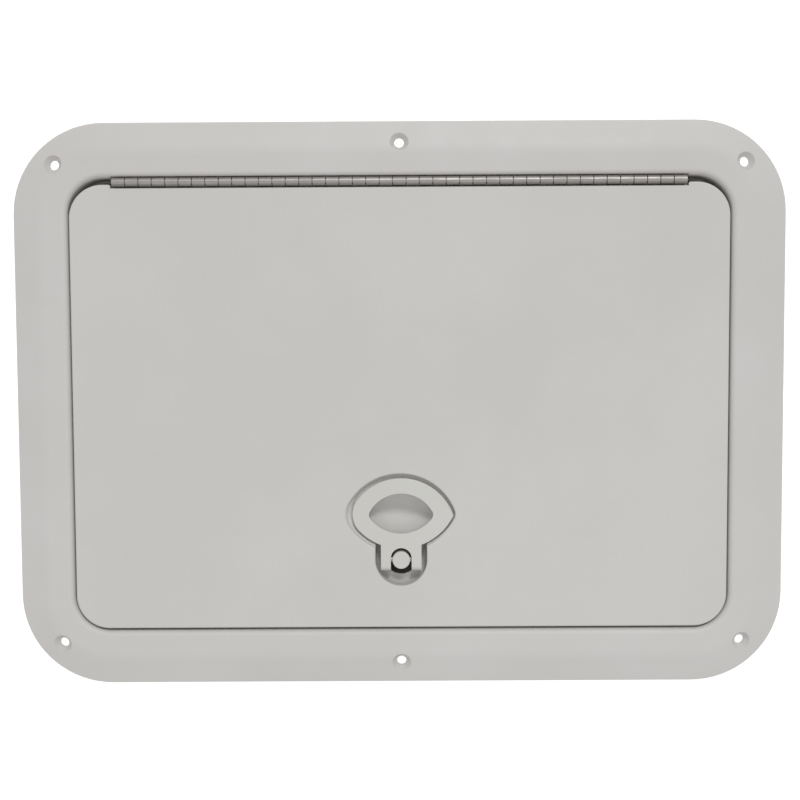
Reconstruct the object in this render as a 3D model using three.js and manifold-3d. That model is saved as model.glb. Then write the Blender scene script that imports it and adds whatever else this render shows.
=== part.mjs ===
// Deck hatch: a moulded frame with a collar, a hinged lid with a flush lift-and-turn latch,
// a stainless piano hinge along the back edge and a rubber seal in the frame's gutter.
// Millimetres, +Z up. The origin is the centre of the collar's bottom rim, +Y towards the hinge.

import * as THREE from "three";
import { mergeVertices } from "three/addons/utils/BufferGeometryUtils.js";
import Module from "manifold-3d";

const wasm = await Module();
wasm.setup();

// ---------- driving dimensions ----------

const OUTER_LENGTH = 381; // 15 in, along X
const OUTER_WIDTH = 279.4; // 11 in, along Y
const OUTER_CORNER = 45;
const FLANGE_WIDTH = 27.3;
const WALL = 3; // moulded wall thickness
const COLLAR_DEPTH = 26; // below the deck
const CROWN_HEIGHT = 7; // flange's highest part above the deck

const DECK_Z = COLLAR_DEPTH;
const TOP_Z = DECK_Z + CROWN_HEIGHT;
const WALL_X = OUTER_LENGTH / 2 - FLANGE_WIDTH; // inner face of the collar
const WALL_Y = OUTER_WIDTH / 2 - FLANGE_WIDTH;
const WALL_CORNER = OUTER_CORNER - FLANGE_WIDTH;

const FIT_GAP = 0.3; // between pieces that rest on each other
const CLOSE_GAP = 0.1; // between a pin and its hole

// Ledge and seal, measured inward from the wall and down from the lid's top.
const LEDGE_WIDTH = 9;
const LEDGE_TOP = TOP_Z - 15;
const LEDGE_THICKNESS = 2.8;
const LEDGE_RIM_HEIGHT = 2;
const LEDGE_RIM_WIDTH = 1.4;
const SEAL_HEIGHT = 4;
const SEAL_WIDTH = 4.6;
const SEAL_INSET = 1.8;

// Six countersunk fixing holes, all the same distance outside the wall.
const HOLE_RADIUS = 2.4;
const COUNTERSINK_RADIUS = 4.7;
const COUNTERSINK_DEPTH = 3.2;
const HOLE_OFFSET = 16.7;
const BOSS_RADIUS = 6;

// Lid.
const LID_GAP = 1.2;
const LID_SIDE_GAP = 0.9;
const LID_X = WALL_X - LID_SIDE_GAP;
const LID_Y = WALL_Y - LID_GAP;
const LID_CORNER = WALL_CORNER - LID_GAP;
const LID_REAR_TRIM = 2.1; // the gap on the hinge side is wider than the others by this much
const LID_EDGE_ROUND = 0.9;
const LID_BOTTOM = LEDGE_TOP + SEAL_HEIGHT + FIT_GAP;
const LID_UNDERSIDE = TOP_Z - WALL;
const RIB_THICKNESS = 2;
const RIB_HEIGHT = 5;

// Piano hinge.
const KNUCKLE_PITCH = 6.55;
const KNUCKLE_COUNT = 43;
const KNUCKLE_GAP = 0.4;
const KNUCKLE_RADIUS = 2.1;
const LEAF_THICKNESS = 0.9;
const HINGE_PIN_RADIUS = 1.1;
const HINGE_LENGTH = KNUCKLE_PITCH * KNUCKLE_COUNT;
const HINGE_Y = WALL_Y - KNUCKLE_RADIUS - CLOSE_GAP;
const HINGE_Z = TOP_Z - 0.6;
const LEAF_DEPTH = 9.8; // from the hinge axis down
const NOTCH_HALF_LENGTH = HINGE_LENGTH / 2 + 0.9;
const LID_REAR_Y = HINGE_Y - KNUCKLE_RADIUS - CLOSE_GAP;
const REBATE = 0.7; // frame and lid are cut back by this much beside the knuckles
const REBATE_BOTTOM = HINGE_Z - 4.4;
const RIVET_RADIUS = 1.2;
const RIVET_HEAD_RADIUS = 2.2;
const RIVET_HEAD_HEIGHT = 0.9;
const RIVET_DROP = 6; // below the hinge axis
const RIVETS_PER_LEAF = 5;
const RIVET_PITCH = 62;
const LID_RIVET_SHIFT = 9; // lid rivets stand beside the frame rivets

// Latch, measured from the spindle's axis.
const SPINDLE_Y = -77.4;
const SPINDLE_RADIUS = 4.4;
const PIVOT_DROP = 3.6; // handle pivot below the lid's top
const PIVOT_Z = TOP_Z - PIVOT_DROP;
const PIVOT_PIN_RADIUS = 1.5;
const HANDLE_THICKNESS = 2.8;
const HANDLE_CLEARANCE = 1.7;
const FORK_HALF_WIDTH = 10.1;
const FORK_DEPTH = 3.1; // fork below the pivot
const HEEL_REACH = 5.5; // fork ahead of the pivot
const NOTCH_HALF_WIDTH = 5.2;
const NOTCH_CENTRE_Y = 0.9;
const RECESS_FLOOR = TOP_Z - 3.5;
const WELL_RADIUS = 12.8;
const WELL_FLOOR = TOP_Z - 9.8;
const WELL_END = 12.9; // the well's straight sides run this far towards the handle
const POCKET_WALL = 2.5;
const SEAT_BOTTOM = TOP_Z - 14.5; // underside of the spindle's boss
const GASKET_RADIUS = 8.4;
const GASKET_THICKNESS = 1.1;
const GASKET_SEAT_RADIUS = 8.6;
const GASKET_SEAT_FLOOR = WELL_FLOOR - 1.3;
const PAWL_THICKNESS = 2.5;
const PAWL_TOP = LEDGE_TOP - LEDGE_THICKNESS - FIT_GAP;
const PAWL_REACH = 31.5;
const PAWL_HALF_WIDTH = 8;
const SQUARE_SIDE = 6.2;
const STUD_RADIUS = 3;
const SPINDLE_END = PAWL_TOP - 9.9;

const CORNER_STEPS = 7;
const ROUND_SIDES = 16;
const SMALL_SIDES = 8;

// ---------- materials ----------

const material = (color, roughness, metalness) =>
  new THREE.MeshStandardMaterial({ color, roughness, metalness });
const framePlastic = material(0xc6c4c0, 0.5, 0);
const lidPlastic = material(0xc5c4c0, 0.6, 0);
const handlePlastic = material(0xd0d0cc, 0.45, 0);
const stainless = material(0xa8a49e, 0.35, 1);
const rubber = material(0x1c1c1c, 0.85, 0);
const nylon = material(0xe6e4dc, 0.5, 0);

// ---------- solids ----------

// A closed geometry as a manifold solid, turned the right way out if its faces point in.
function solid(geometry) {
  const bare = geometry.clone();
  bare.deleteAttribute("normal");
  bare.deleteAttribute("uv");
  const merged = mergeVertices(bare, 1e-4);
  const corners = new Uint32Array(merged.index.array);
  const make = () =>
    new wasm.Manifold(
      new wasm.Mesh({
        numProp: 3,
        vertProperties: merged.attributes.position.array,
        triVerts: corners,
      }),
    );
  const made = make();
  if (made.volume() > 0) return made;
  for (let i = 0; i < corners.length; i += 3) {
    [corners[i + 1], corners[i + 2]] = [corners[i + 2], corners[i + 1]];
  }
  return make();
}

function geometryOf(body) {
  const mesh = body.getMesh();
  const geometry = new THREE.BufferGeometry();
  geometry.setAttribute("position", new THREE.BufferAttribute(mesh.vertProperties, 3));
  geometry.setIndex(new THREE.BufferAttribute(mesh.triVerts, 1));
  geometry.computeVertexNormals();
  return geometry;
}

const join = (...bodies) => bodies.reduce((a, b) => a.add(b));
const cut = (body, ...tools) => tools.reduce((a, b) => a.subtract(b), body);

// A box from its lowest and highest corners.
function block([x0, y0, z0], [x1, y1, z1]) {
  const box = new THREE.BoxGeometry(x1 - x0, y1 - y0, z1 - z0);
  return solid(box.translate((x0 + x1) / 2, (y0 + y1) / 2, (z0 + z1) / 2));
}

// A round bar standing on Z, with a radius at each end.
function rod(x, y, z0, z1, bottomRadius, topRadius = bottomRadius, sides = ROUND_SIDES) {
  const bar = new THREE.CylinderGeometry(topRadius, bottomRadius, z1 - z0, sides);
  return solid(bar.rotateX(Math.PI / 2).translate(x, y, (z0 + z1) / 2));
}

// A round bar lying along X.
function bar(y, z, x0, x1, radius, sides = ROUND_SIDES) {
  const lying = new THREE.CylinderGeometry(radius, radius, x1 - x0, sides);
  return solid(lying.rotateZ(Math.PI / 2).translate((x0 + x1) / 2, y, z));
}

// A solid of revolution about Z. Each profile point is [radius, z], and the profile closes.
function turned(profile, x, y, sides = ROUND_SIDES) {
  const points = profile.map(([r, z]) => new THREE.Vector2(r, z));
  const lathe = new THREE.LatheGeometry(points, sides);
  return solid(lathe.rotateX(Math.PI / 2).translate(x, y, 0));
}

// An outline of [x, y] points stood up between two heights.
function prism(outline, z0, z1) {
  const shape = new THREE.Shape(outline.map(([x, y]) => new THREE.Vector2(x, y)));
  const options = { depth: z1 - z0, bevelEnabled: false };
  return solid(new THREE.ExtrudeGeometry(shape, options).translate(0, 0, z0));
}

// A skin through loops of equal point count, closed by a flat cap at each end.
function loft(levels) {
  const count = levels[0].loop.length;
  const positions = levels.flatMap(({ loop, z }) => loop.flatMap(([x, y]) => [x, y, z]));
  const index = [];
  for (let level = 0; level < levels.length - 1; level++) {
    for (let i = 0; i < count; i++) {
      const next = (i + 1) % count;
      const a = level * count + i;
      const b = level * count + next;
      index.push(a, b, b + count, a, b + count, a + count);
    }
  }
  const outline = levels[0].loop.map(([x, y]) => new THREE.Vector2(x, y));
  const last = (levels.length - 1) * count;
  for (const [a, b, c] of THREE.ShapeUtils.triangulateShape(outline, [])) {
    index.push(a, c, b, last + a, last + b, last + c);
  }
  const geometry = new THREE.BufferGeometry();
  geometry.setAttribute("position", new THREE.Float32BufferAttribute(positions, 3));
  geometry.setIndex(index);
  return solid(geometry);
}

// Points on an arc, from one angle to another in degrees, both ends included.
function arc(cx, cy, radius, from, to, steps) {
  const points = [];
  for (let i = 0; i <= steps; i++) {
    const angle = THREE.MathUtils.degToRad(from + ((to - from) * i) / steps);
    points.push([cx + radius * Math.cos(angle), cy + radius * Math.sin(angle)]);
  }
  return points;
}

// A rounded rectangle centred on the origin.
function roundedRectangle(halfX, halfY, radius) {
  const quadrants = [[1, 1, 0], [-1, 1, 90], [-1, -1, 180], [1, -1, 270]];
  return quadrants.flatMap(([sx, sy, start]) => {
    const cx = sx * (halfX - radius);
    const cy = sy * (halfY - radius);
    return arc(cx, cy, radius, start, start + 90, CORNER_STEPS);
  });
}

// The wall's inner outline moved outward by a distance.
const wallLoop = (offset) =>
  roundedRectangle(WALL_X + offset, WALL_Y + offset, WALL_CORNER + offset);
function lidLoop(offset) {
  const shift = LID_REAR_TRIM / 2;
  const loop = roundedRectangle(LID_X + offset, LID_Y - shift + offset, LID_CORNER + offset);
  return loop.map(([x, y]) => [x, y - shift]);
}

// A closed profile of [offset, z] points carried round the wall's outline.
function sweepRound(profile) {
  const loops = profile.map(([offset]) => wallLoop(offset));
  const count = loops[0].length;
  const positions = loops.flatMap((loop, i) => loop.flatMap(([x, y]) => [x, y, profile[i][1]]));
  const index = [];
  for (let i = 0; i < profile.length; i++) {
    const above = (i + 1) % profile.length;
    for (let j = 0; j < count; j++) {
      const next = (j + 1) % count;
      const corners = [i * count + j, i * count + next, above * count + next, above * count + j];
      index.push(corners[0], corners[1], corners[2], corners[0], corners[2], corners[3]);
    }
  }
  const geometry = new THREE.BufferGeometry();
  geometry.setAttribute("position", new THREE.Float32BufferAttribute(positions, 3));
  geometry.setIndex(index);
  return solid(geometry);
}

// ---------- frame ----------

const CROWN_ROUND = 3; // fillet from the crown into the opening
const CROWN_END = 10.5; // where the crown starts to fall away
const SLOPE_START = 16; // where it has reached its full steepness
const STEEPNESS = 0.25; // from there to the outer edge
const LIP_ROUND = 0.8;
const BEND_STEPS = 4;
const RIM_WIDTH = 3; // the part of the flange that stands on the deck

// Height of the flange's upper face at a distance outside the wall.
function flangeHeight(offset) {
  const past = Math.max(0, offset - CROWN_END);
  const bend = SLOPE_START - CROWN_END;
  return TOP_Z - STEEPNESS * (past < bend ? (past * past) / (2 * bend) : past - bend / 2);
}

function frameProfile() {
  const bend = [];
  for (let i = 0; i <= BEND_STEPS; i++) {
    const offset = SLOPE_START + ((CROWN_END - SLOPE_START) * i) / BEND_STEPS;
    bend.push([offset, flangeHeight(offset)]);
  }
  const fillet = arc(CROWN_ROUND, TOP_Z - CROWN_ROUND, CROWN_ROUND, 90, 180, 3);
  const rim = FLANGE_WIDTH - RIM_WIDTH;
  const edge = FLANGE_WIDTH - LIP_ROUND;
  return [
    [0, 0],
    [WALL, 0],
    [WALL, TOP_Z - WALL],
    [CROWN_END, TOP_Z - WALL],
    [SLOPE_START, flangeHeight(SLOPE_START) - WALL],
    [rim - 0.5, flangeHeight(rim) - WALL],
    [rim, DECK_Z],
    [FLANGE_WIDTH, DECK_Z],
    [FLANGE_WIDTH, flangeHeight(FLANGE_WIDTH) - LIP_ROUND],
    [edge, flangeHeight(edge)],
    ...bend,
    ...fillet,
    [0, LEDGE_TOP],
    [LEDGE_RIM_WIDTH - LEDGE_WIDTH, LEDGE_TOP],
    [LEDGE_RIM_WIDTH - LEDGE_WIDTH, LEDGE_TOP + LEDGE_RIM_HEIGHT],
    [-LEDGE_WIDTH, LEDGE_TOP + LEDGE_RIM_HEIGHT],
    [-LEDGE_WIDTH, LEDGE_TOP - LEDGE_THICKNESS],
    [0, LEDGE_TOP - LEDGE_THICKNESS],
  ];
}

// One hole at the middle of each long side, and one on each corner's diagonal.
function fixingHoles() {
  const diagonal = (WALL_CORNER + HOLE_OFFSET) * Math.SQRT1_2;
  const cornerX = WALL_X - WALL_CORNER + diagonal;
  const cornerY = WALL_Y - WALL_CORNER + diagonal;
  const corners = [-1, 1].flatMap((sx) => [-1, 1].map((sy) => [sx * cornerX, sy * cornerY]));
  return [...corners, [0, WALL_Y + HOLE_OFFSET], [0, -WALL_Y - HOLE_OFFSET]];
}

// Places along X of the rivets in one hinge leaf.
function rivetPlaces(shift) {
  const first = (-RIVET_PITCH * (RIVETS_PER_LEAF - 1)) / 2;
  return Array.from({ length: RIVETS_PER_LEAF }, (_, i) => first + i * RIVET_PITCH + shift);
}

// A small hole through a wall or leaf, along Y.
function rivetHole(x, y0, y1) {
  const radius = RIVET_RADIUS + CLOSE_GAP;
  const drill = new THREE.CylinderGeometry(radius, radius, y1 - y0, SMALL_SIDES);
  return solid(drill.translate(x, (y0 + y1) / 2, HINGE_Z - RIVET_DROP));
}

// A countersink leaning half as much as the sloping flange, its foot on the hole's axis.
function countersink(x, y) {
  const above = 2; // the cone carries on past the flange's face
  const flare = (COUNTERSINK_RADIUS - HOLE_RADIUS) / COUNTERSINK_DEPTH;
  const height = COUNTERSINK_DEPTH + above;
  const cone = rod(0, 0, 0, height, HOLE_RADIUS, HOLE_RADIUS + flare * height, SMALL_SIDES + 4);
  const lean = THREE.MathUtils.radToDeg(Math.atan(STEEPNESS)) / 2;
  const heading = THREE.MathUtils.radToDeg(Math.atan2(Math.sign(y), Math.sign(x)));
  const foot = flangeHeight(HOLE_OFFSET) - COUNTERSINK_DEPTH;
  return cone.rotate([0, lean, heading]).translate([x, y, foot]);
}

function frameBody() {
  const seatZ = flangeHeight(HOLE_OFFSET);
  const bosses = fixingHoles().map(([x, y]) =>
    rod(x, y, DECK_Z, seatZ - 1.85, BOSS_RADIUS, BOSS_RADIUS, SMALL_SIDES + 4),
  );
  const drills = fixingHoles().flatMap(([x, y]) => [
    rod(x, y, DECK_Z - 1, seatZ - COUNTERSINK_DEPTH + 0.8, HOLE_RADIUS, HOLE_RADIUS, SMALL_SIDES + 4),
    countersink(x, y),
  ]);
  const rivets = rivetPlaces(0).map((x) => rivetHole(x, WALL_Y - 1, WALL_Y + WALL + 1));
  const rebate = block(
    [-NOTCH_HALF_LENGTH, WALL_Y - 1, REBATE_BOTTOM],
    [NOTCH_HALF_LENGTH, WALL_Y + REBATE, TOP_Z + 1],
  );
  return cut(join(sweepRound(frameProfile()), ...bosses), rebate, ...drills, ...rivets);
}

// A soft D-section strip lying in the gutter.
function sealBody() {
  const inner = -SEAL_INSET - SEAL_WIDTH;
  const outer = -SEAL_INSET;
  const base = LEDGE_TOP + CLOSE_GAP;
  const crown = arc((inner + outer) / 2, LEDGE_TOP + SEAL_HEIGHT - SEAL_WIDTH / 2, SEAL_WIDTH / 2, 0, 180, 6);
  return sweepRound([[inner, base], [outer, base], ...crown]);
}

// ---------- lid ----------

// The handle's lens: an upper arc and a lower arc about centres on the spindle's Y axis.
const UPPER_ARC = { centre: 13.6, radius: 27.5 };
const LOWER_ARC = { centre: 34.65, radius: 28.9 };
const LEFT_TIP_ROUND = 12; // the left tip is blunt
const RIGHT_TIP_ROUND = 1.6;
const RECESS_TIP_ROUND = 4;
const RECESS_LEFT_ROUND = 8;
const RAMP_FOOT_ROUND = 14;
const RAMP_FOOT_SHIFT = 0.5;
const RECESS_SHIFT = [-0.5, 0.5]; // the handle lies off the recess's centre
const OPENING_UPPER_ARC = { centre: 15.6, radius: 17.9 };
const OPENING_LOWER_ARC = { centre: 32.9, radius: 19.5 };
const OPENING_ROUND = 3.2;
const LENS_STEPS = 9;

// Where a lens's tip is centred, for a tip of the given radius, with the angles where it meets
// the upper and the lower arc.
function lensTip(upper, lower, tipRadius) {
  const across = lower.centre - upper.centre;
  const a = upper.radius - tipRadius;
  const b = lower.radius - tipRadius;
  const y = upper.centre + (across * across + a * a - b * b) / (2 * across);
  const x = Math.sqrt(a * a - (y - upper.centre) ** 2);
  const degrees = (centre) => THREE.MathUtils.radToDeg(Math.atan2(y - centre, x));
  return { x, y, upperEnd: degrees(upper.centre), lowerEnd: degrees(lower.centre) };
}

function lensLoop(upper, lower, leftRadius, rightRadius, offset) {
  const left = lensTip(upper, lower, leftRadius);
  const right = lensTip(upper, lower, rightRadius);
  const up = upper.radius + offset;
  const low = lower.radius + offset;
  const top = arc(0, upper.centre, up, right.upperEnd, 180 - left.upperEnd, LENS_STEPS);
  const bottom = arc(0, lower.centre, low, -180 - left.lowerEnd, right.lowerEnd, LENS_STEPS);
  const tipSteps = 4;
  const leftTip = arc(-left.x, left.y, leftRadius + offset, 180 - left.upperEnd, 180 - left.lowerEnd, tipSteps);
  const rightTip = arc(right.x, right.y, rightRadius + offset, right.lowerEnd, right.upperEnd, tipSteps);
  return [...top, ...leftTip.slice(1, -1), ...bottom, ...rightTip.slice(1, -1)];
}

const atSpindle = (loop, dx = 0, dy = 0) => loop.map(([x, y]) => [x + dx, y + dy + SPINDLE_Y]);
const handleLens = (offset) =>
  atSpindle(lensLoop(UPPER_ARC, LOWER_ARC, LEFT_TIP_ROUND, RIGHT_TIP_ROUND, offset));
const openingLens = (offset) =>
  atSpindle(
    lensLoop(OPENING_UPPER_ARC, OPENING_LOWER_ARC, OPENING_ROUND, OPENING_ROUND, offset),
  );

// The recess follows the handle's outline, grown by an offset and leaned over by dx, dy. Its left
// tip is blunter at the floor than at the rim, so that its left wall is a ramp.
function recessLens(offset, dx = 0, dy = 0, leftRound = RECESS_LEFT_ROUND) {
  const loop = lensLoop(UPPER_ARC, LOWER_ARC, leftRound, RECESS_TIP_ROUND, offset);
  return atSpindle(loop, RECESS_SHIFT[0] + dx, RECESS_SHIFT[1] + dy);
}

// The U-shaped well that the fork drops and turns in, grown by a distance.
function wellLoop(offset) {
  const radius = WELL_RADIUS + offset;
  const end = arc(0, 0, radius, 180, 360, 10);
  return atSpindle([...end, [radius, WELL_END], [-radius, WELL_END]]);
}

const BOWL_CENTRE_Y = 25.4;
const BOWL_HALF = [18, 12, 9];

// Half of an ellipsoid under the handle's opening, grown by a distance.
function bowl(offset) {
  const ball = new THREE.SphereGeometry(1, 18, 10);
  ball.rotateX(Math.PI / 2);
  ball.scale(BOWL_HALF[0] + offset, BOWL_HALF[1] + offset, BOWL_HALF[2] + offset);
  return solid(ball.translate(0, SPINDLE_Y + BOWL_CENTRE_Y, RECESS_FLOOR));
}

// The moulded pocket under the lid's skin, before it is hollowed.
function pocketBlock() {
  const around = recessLens(HANDLE_CLEARANCE + POCKET_WALL);
  const floor = prism(around, RECESS_FLOOR - POCKET_WALL, TOP_Z - 1);
  const well = prism(wellLoop(POCKET_WALL), SEAT_BOTTOM, TOP_Z - 1);
  const above = block([-40, SPINDLE_Y - 20, TOP_Z - 1], [40, SPINDLE_Y + 50, TOP_Z + 20]);
  return join(floor, well, cut(bowl(POCKET_WALL), above));
}

const RECESS_DRAFT = 0.8; // the recess opens out by this much from floor to rim
const RIM_ROUND = 0.7;
const RELIEF_DEPTH = 2.3;
const RELIEF = [-0.3, -1.3]; // the left side's slope leans out by this much

function pocketHollow() {
  const rim = TOP_Z + 0.5;
  const lens = loft([
    {
      loop: recessLens(HANDLE_CLEARANCE - RECESS_DRAFT, RAMP_FOOT_SHIFT, 0, RAMP_FOOT_ROUND),
      z: RECESS_FLOOR,
    },
    { loop: recessLens(HANDLE_CLEARANCE), z: TOP_Z - RIM_ROUND },
    { loop: recessLens(HANDLE_CLEARANCE + RIM_ROUND), z: TOP_Z },
    { loop: recessLens(HANDLE_CLEARANCE + RIM_ROUND), z: rim },
  ]);
  const relief = loft([
    { loop: recessLens(HANDLE_CLEARANCE - 0.3), z: TOP_Z - RELIEF_DEPTH },
    { loop: recessLens(HANDLE_CLEARANCE, ...RELIEF), z: TOP_Z - RIM_ROUND + 0.1 },
    { loop: recessLens(HANDLE_CLEARANCE + RIM_ROUND, ...RELIEF), z: TOP_Z },
    { loop: recessLens(HANDLE_CLEARANCE + RIM_ROUND, ...RELIEF), z: rim },
  ]);
  const well = loft([
    { loop: wellLoop(-1.5), z: WELL_FLOOR },
    { loop: wellLoop(0), z: WELL_FLOOR + 2.5 },
    { loop: wellLoop(0), z: TOP_Z - RIM_ROUND },
    { loop: wellLoop(RIM_ROUND), z: TOP_Z },
    { loop: wellLoop(RIM_ROUND), z: rim },
  ]);
  const seat = rod(0, SPINDLE_Y, GASKET_SEAT_FLOOR, WELL_FLOOR + 1, GASKET_SEAT_RADIUS);
  const bore = rod(0, SPINDLE_Y, SEAT_BOTTOM - 1, WELL_FLOOR, SPINDLE_RADIUS + 2 * CLOSE_GAP);
  return join(lens, relief, well, bowl(0), seat, bore);
}

function lidBody() {
  const skin = loft([
    { loop: lidLoop(0), z: LID_BOTTOM },
    { loop: lidLoop(0), z: TOP_Z - LID_EDGE_ROUND },
    { loop: lidLoop(-LID_EDGE_ROUND * 0.3), z: TOP_Z - LID_EDGE_ROUND * 0.3 },
    { loop: lidLoop(-LID_EDGE_ROUND), z: TOP_Z },
  ]);
  const hingeNotch = block(
    [-NOTCH_HALF_LENGTH, LID_REAR_Y, LID_BOTTOM - 1],
    [NOTCH_HALF_LENGTH, LID_Y + 5, TOP_Z + 1],
  );
  const rearWall = block(
    [-NOTCH_HALF_LENGTH - WALL, LID_REAR_Y - WALL, LID_BOTTOM - 2],
    [NOTCH_HALF_LENGTH + WALL, LID_Y + 5, TOP_Z],
  );
  const hollow = cut(prism(lidLoop(-WALL), LID_BOTTOM - 1, LID_UNDERSIDE), rearWall);
  const rebate = block(
    [-NOTCH_HALF_LENGTH, LID_REAR_Y - REBATE, REBATE_BOTTOM],
    [NOTCH_HALF_LENGTH, LID_Y + 5, TOP_Z + 1],
  );
  const shell = cut(skin, hollow, hingeNotch, rebate);
  const ribBottom = LID_UNDERSIDE - RIB_HEIGHT;
  const half = RIB_THICKNESS / 2;
  const overlap = 0.5; // ribs reach into the skin and the skirt
  const longRibs = [64, 16].map((y) =>
    block(
      [-LID_X + WALL - overlap, y - half, ribBottom],
      [LID_X - WALL + overlap, y + half, LID_UNDERSIDE + overlap],
    ),
  );
  const crossRibs = [-96, -32, 32, 96].map((x) =>
    block(
      [x - half, -LID_Y + WALL - overlap, ribBottom],
      [x + half, LID_REAR_Y - WALL + overlap, LID_UNDERSIDE + overlap],
    ),
  );
  const rivets = rivetPlaces(LID_RIVET_SHIFT).map((x) =>
    rivetHole(x, LID_REAR_Y - WALL - 1, LID_REAR_Y + 1),
  );
  return cut(join(shell, ...longRibs, ...crossRibs, pocketBlock()), pocketHollow(), ...rivets);
}

// ---------- hinge ----------

// One leaf with its share of the knuckles. side is 1 for the frame's leaf, -1 for the lid's.
function leafBody(side, firstKnuckle) {
  const inner = KNUCKLE_RADIUS - LEAF_THICKNESS;
  const near = HINGE_Y + (side > 0 ? inner : -KNUCKLE_RADIUS);
  const far = HINGE_Y + (side > 0 ? KNUCKLE_RADIUS : -inner);
  const plateTop = HINGE_Z - KNUCKLE_RADIUS - 0.4;
  const half = HINGE_LENGTH / 2;
  const bottom = HINGE_Z - LEAF_DEPTH;
  const plate = block([-half, near, bottom], [half, far, plateTop]);
  const pieces = [plate];
  for (let i = firstKnuckle; i < KNUCKLE_COUNT; i += 2) {
    const x0 = -half + i * KNUCKLE_PITCH + KNUCKLE_GAP / 2;
    const x1 = x0 + KNUCKLE_PITCH - KNUCKLE_GAP;
    pieces.push(block([x0, near, plateTop - 0.5], [x1, far, HINGE_Z]));
    pieces.push(bar(HINGE_Y, HINGE_Z, x0, x1, KNUCKLE_RADIUS, 12));
  }
  const bore = bar(HINGE_Y, HINGE_Z, -half - 1, half + 1, HINGE_PIN_RADIUS + CLOSE_GAP, SMALL_SIDES);
  const shift = side > 0 ? 0 : LID_RIVET_SHIFT;
  const holes = rivetPlaces(shift).map((x) => rivetHole(x, near - 1, far + 1));
  return cut(join(...pieces), bore, ...holes);
}

// A set rivet along Y: head on the leaf, shank through leaf and wall, upset tail behind the wall.
function rivetBody(side, x) {
  const leafFace = KNUCKLE_RADIUS - LEAF_THICKNESS - CLOSE_GAP;
  const tailFace = KNUCKLE_RADIUS + CLOSE_GAP + WALL + CLOSE_GAP;
  const tailHeight = 1.1;
  const profile = [
    [0, leafFace - RIVET_HEAD_HEIGHT],
    [RIVET_HEAD_RADIUS * 0.6, leafFace - RIVET_HEAD_HEIGHT],
    [RIVET_HEAD_RADIUS, leafFace - RIVET_HEAD_HEIGHT * 0.3],
    [RIVET_HEAD_RADIUS, leafFace],
    [RIVET_RADIUS, leafFace],
    [RIVET_RADIUS, tailFace],
    [RIVET_RADIUS * 1.5, tailFace],
    [RIVET_RADIUS * 1.5, tailFace + tailHeight],
    [0, tailFace + tailHeight],
  ];
  const points = profile.map(([r, along]) => new THREE.Vector2(r, along));
  const lathe = new THREE.LatheGeometry(points, SMALL_SIDES);
  lathe.rotateX(side > 0 ? 0 : Math.PI);
  return solid(lathe.translate(x, HINGE_Y, HINGE_Z - RIVET_DROP));
}

// ---------- latch ----------

// Side view of the fork, [y, z] from the pivot: a round heel ahead and a ramp up to the plate.
function forkSide() {
  const top = PIVOT_DROP;
  const plateUnderside = PIVOT_DROP - HANDLE_THICKNESS;
  const heelRound = 2.6;
  const heel = arc(heelRound - HEEL_REACH, top - heelRound, heelRound, 90, 180, 4);
  return [
    ...heel,
    [-HEEL_REACH, -1.4],
    [-4.3, -FORK_DEPTH],
    [4.5, -FORK_DEPTH],
    [8, plateUnderside - 0.4],
    [9, plateUnderside],
    [11, plateUnderside],
    [11, top],
  ];
}

function handleBody() {
  const underside = TOP_Z - HANDLE_THICKNESS;
  const upperEdge = 0.3;
  const lowerEdge = 1.5; // bevelled so that it clears the recess as the handle lifts and turns
  const plate = loft([
    { loop: handleLens(-lowerEdge), z: underside },
    { loop: handleLens(0), z: underside + 1.9 },
    { loop: handleLens(0), z: TOP_Z - upperEdge },
    { loop: handleLens(-upperEdge), z: TOP_Z },
  ]);
  const side = new THREE.Shape(forkSide().map(([y, z]) => new THREE.Vector2(y, z)));
  const fork = new THREE.ExtrudeGeometry(side, { depth: 2 * FORK_HALF_WIDTH, bevelEnabled: false });
  // The side view's own x and y become Y and Z, and its depth becomes X.
  fork.applyMatrix4(new THREE.Matrix4().set(0, 0, 1, 0, 1, 0, 0, 0, 0, 1, 0, 0, 0, 0, 0, 1));
  fork.translate(-FORK_HALF_WIDTH, SPINDLE_Y, PIVOT_Z);
  const notchArc = arc(0, NOTCH_CENTRE_Y, NOTCH_HALF_WIDTH, 0, 180, 8);
  const notchEnd = -HEEL_REACH - 1;
  const notch = atSpindle([...notchArc, [-NOTCH_HALF_WIDTH, notchEnd], [NOTCH_HALF_WIDTH, notchEnd]]);
  return cut(
    join(plate, solid(fork)),
    prism(notch, PIVOT_Z - FORK_DEPTH - 1, TOP_Z + 1),
    prism(openingLens(0), underside - 1, TOP_Z + 1),
    bar(SPINDLE_Y, PIVOT_Z, -FORK_HALF_WIDTH - 1, FORK_HALF_WIDTH + 1, PIVOT_PIN_RADIUS + CLOSE_GAP, 12),
  );
}

function spindleBody() {
  const edge = 0.5;
  const shoulder = PAWL_TOP + FIT_GAP;
  const barrel = turned(
    [
      [0, shoulder],
      [SPINDLE_RADIUS, shoulder],
      [SPINDLE_RADIUS, TOP_Z - edge],
      [SPINDLE_RADIUS - edge, TOP_Z],
      [0, TOP_Z],
    ],
    0,
    SPINDLE_Y,
  );
  const half = SQUARE_SIDE / 2;
  const squareBottom = PAWL_TOP - PAWL_THICKNESS;
  const square = block(
    [-half, SPINDLE_Y - half, squareBottom],
    [half, SPINDLE_Y + half, shoulder + 1],
  );
  const stud = rod(0, SPINDLE_Y, SPINDLE_END, squareBottom + 1, STUD_RADIUS, STUD_RADIUS, 12);
  const crossHole = bar(SPINDLE_Y, PIVOT_Z, -8, 8, PIVOT_PIN_RADIUS + CLOSE_GAP, 12);
  return cut(join(barrel, square, stud), crossHole);
}

// A flat ring about the spindle.
function washerBody(innerRadius, outerRadius, z0, z1) {
  const profile = [[innerRadius, z0], [outerRadius, z0], [outerRadius, z1], [innerRadius, z1]];
  return turned([...profile, profile[0]], 0, SPINDLE_Y);
}

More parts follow.
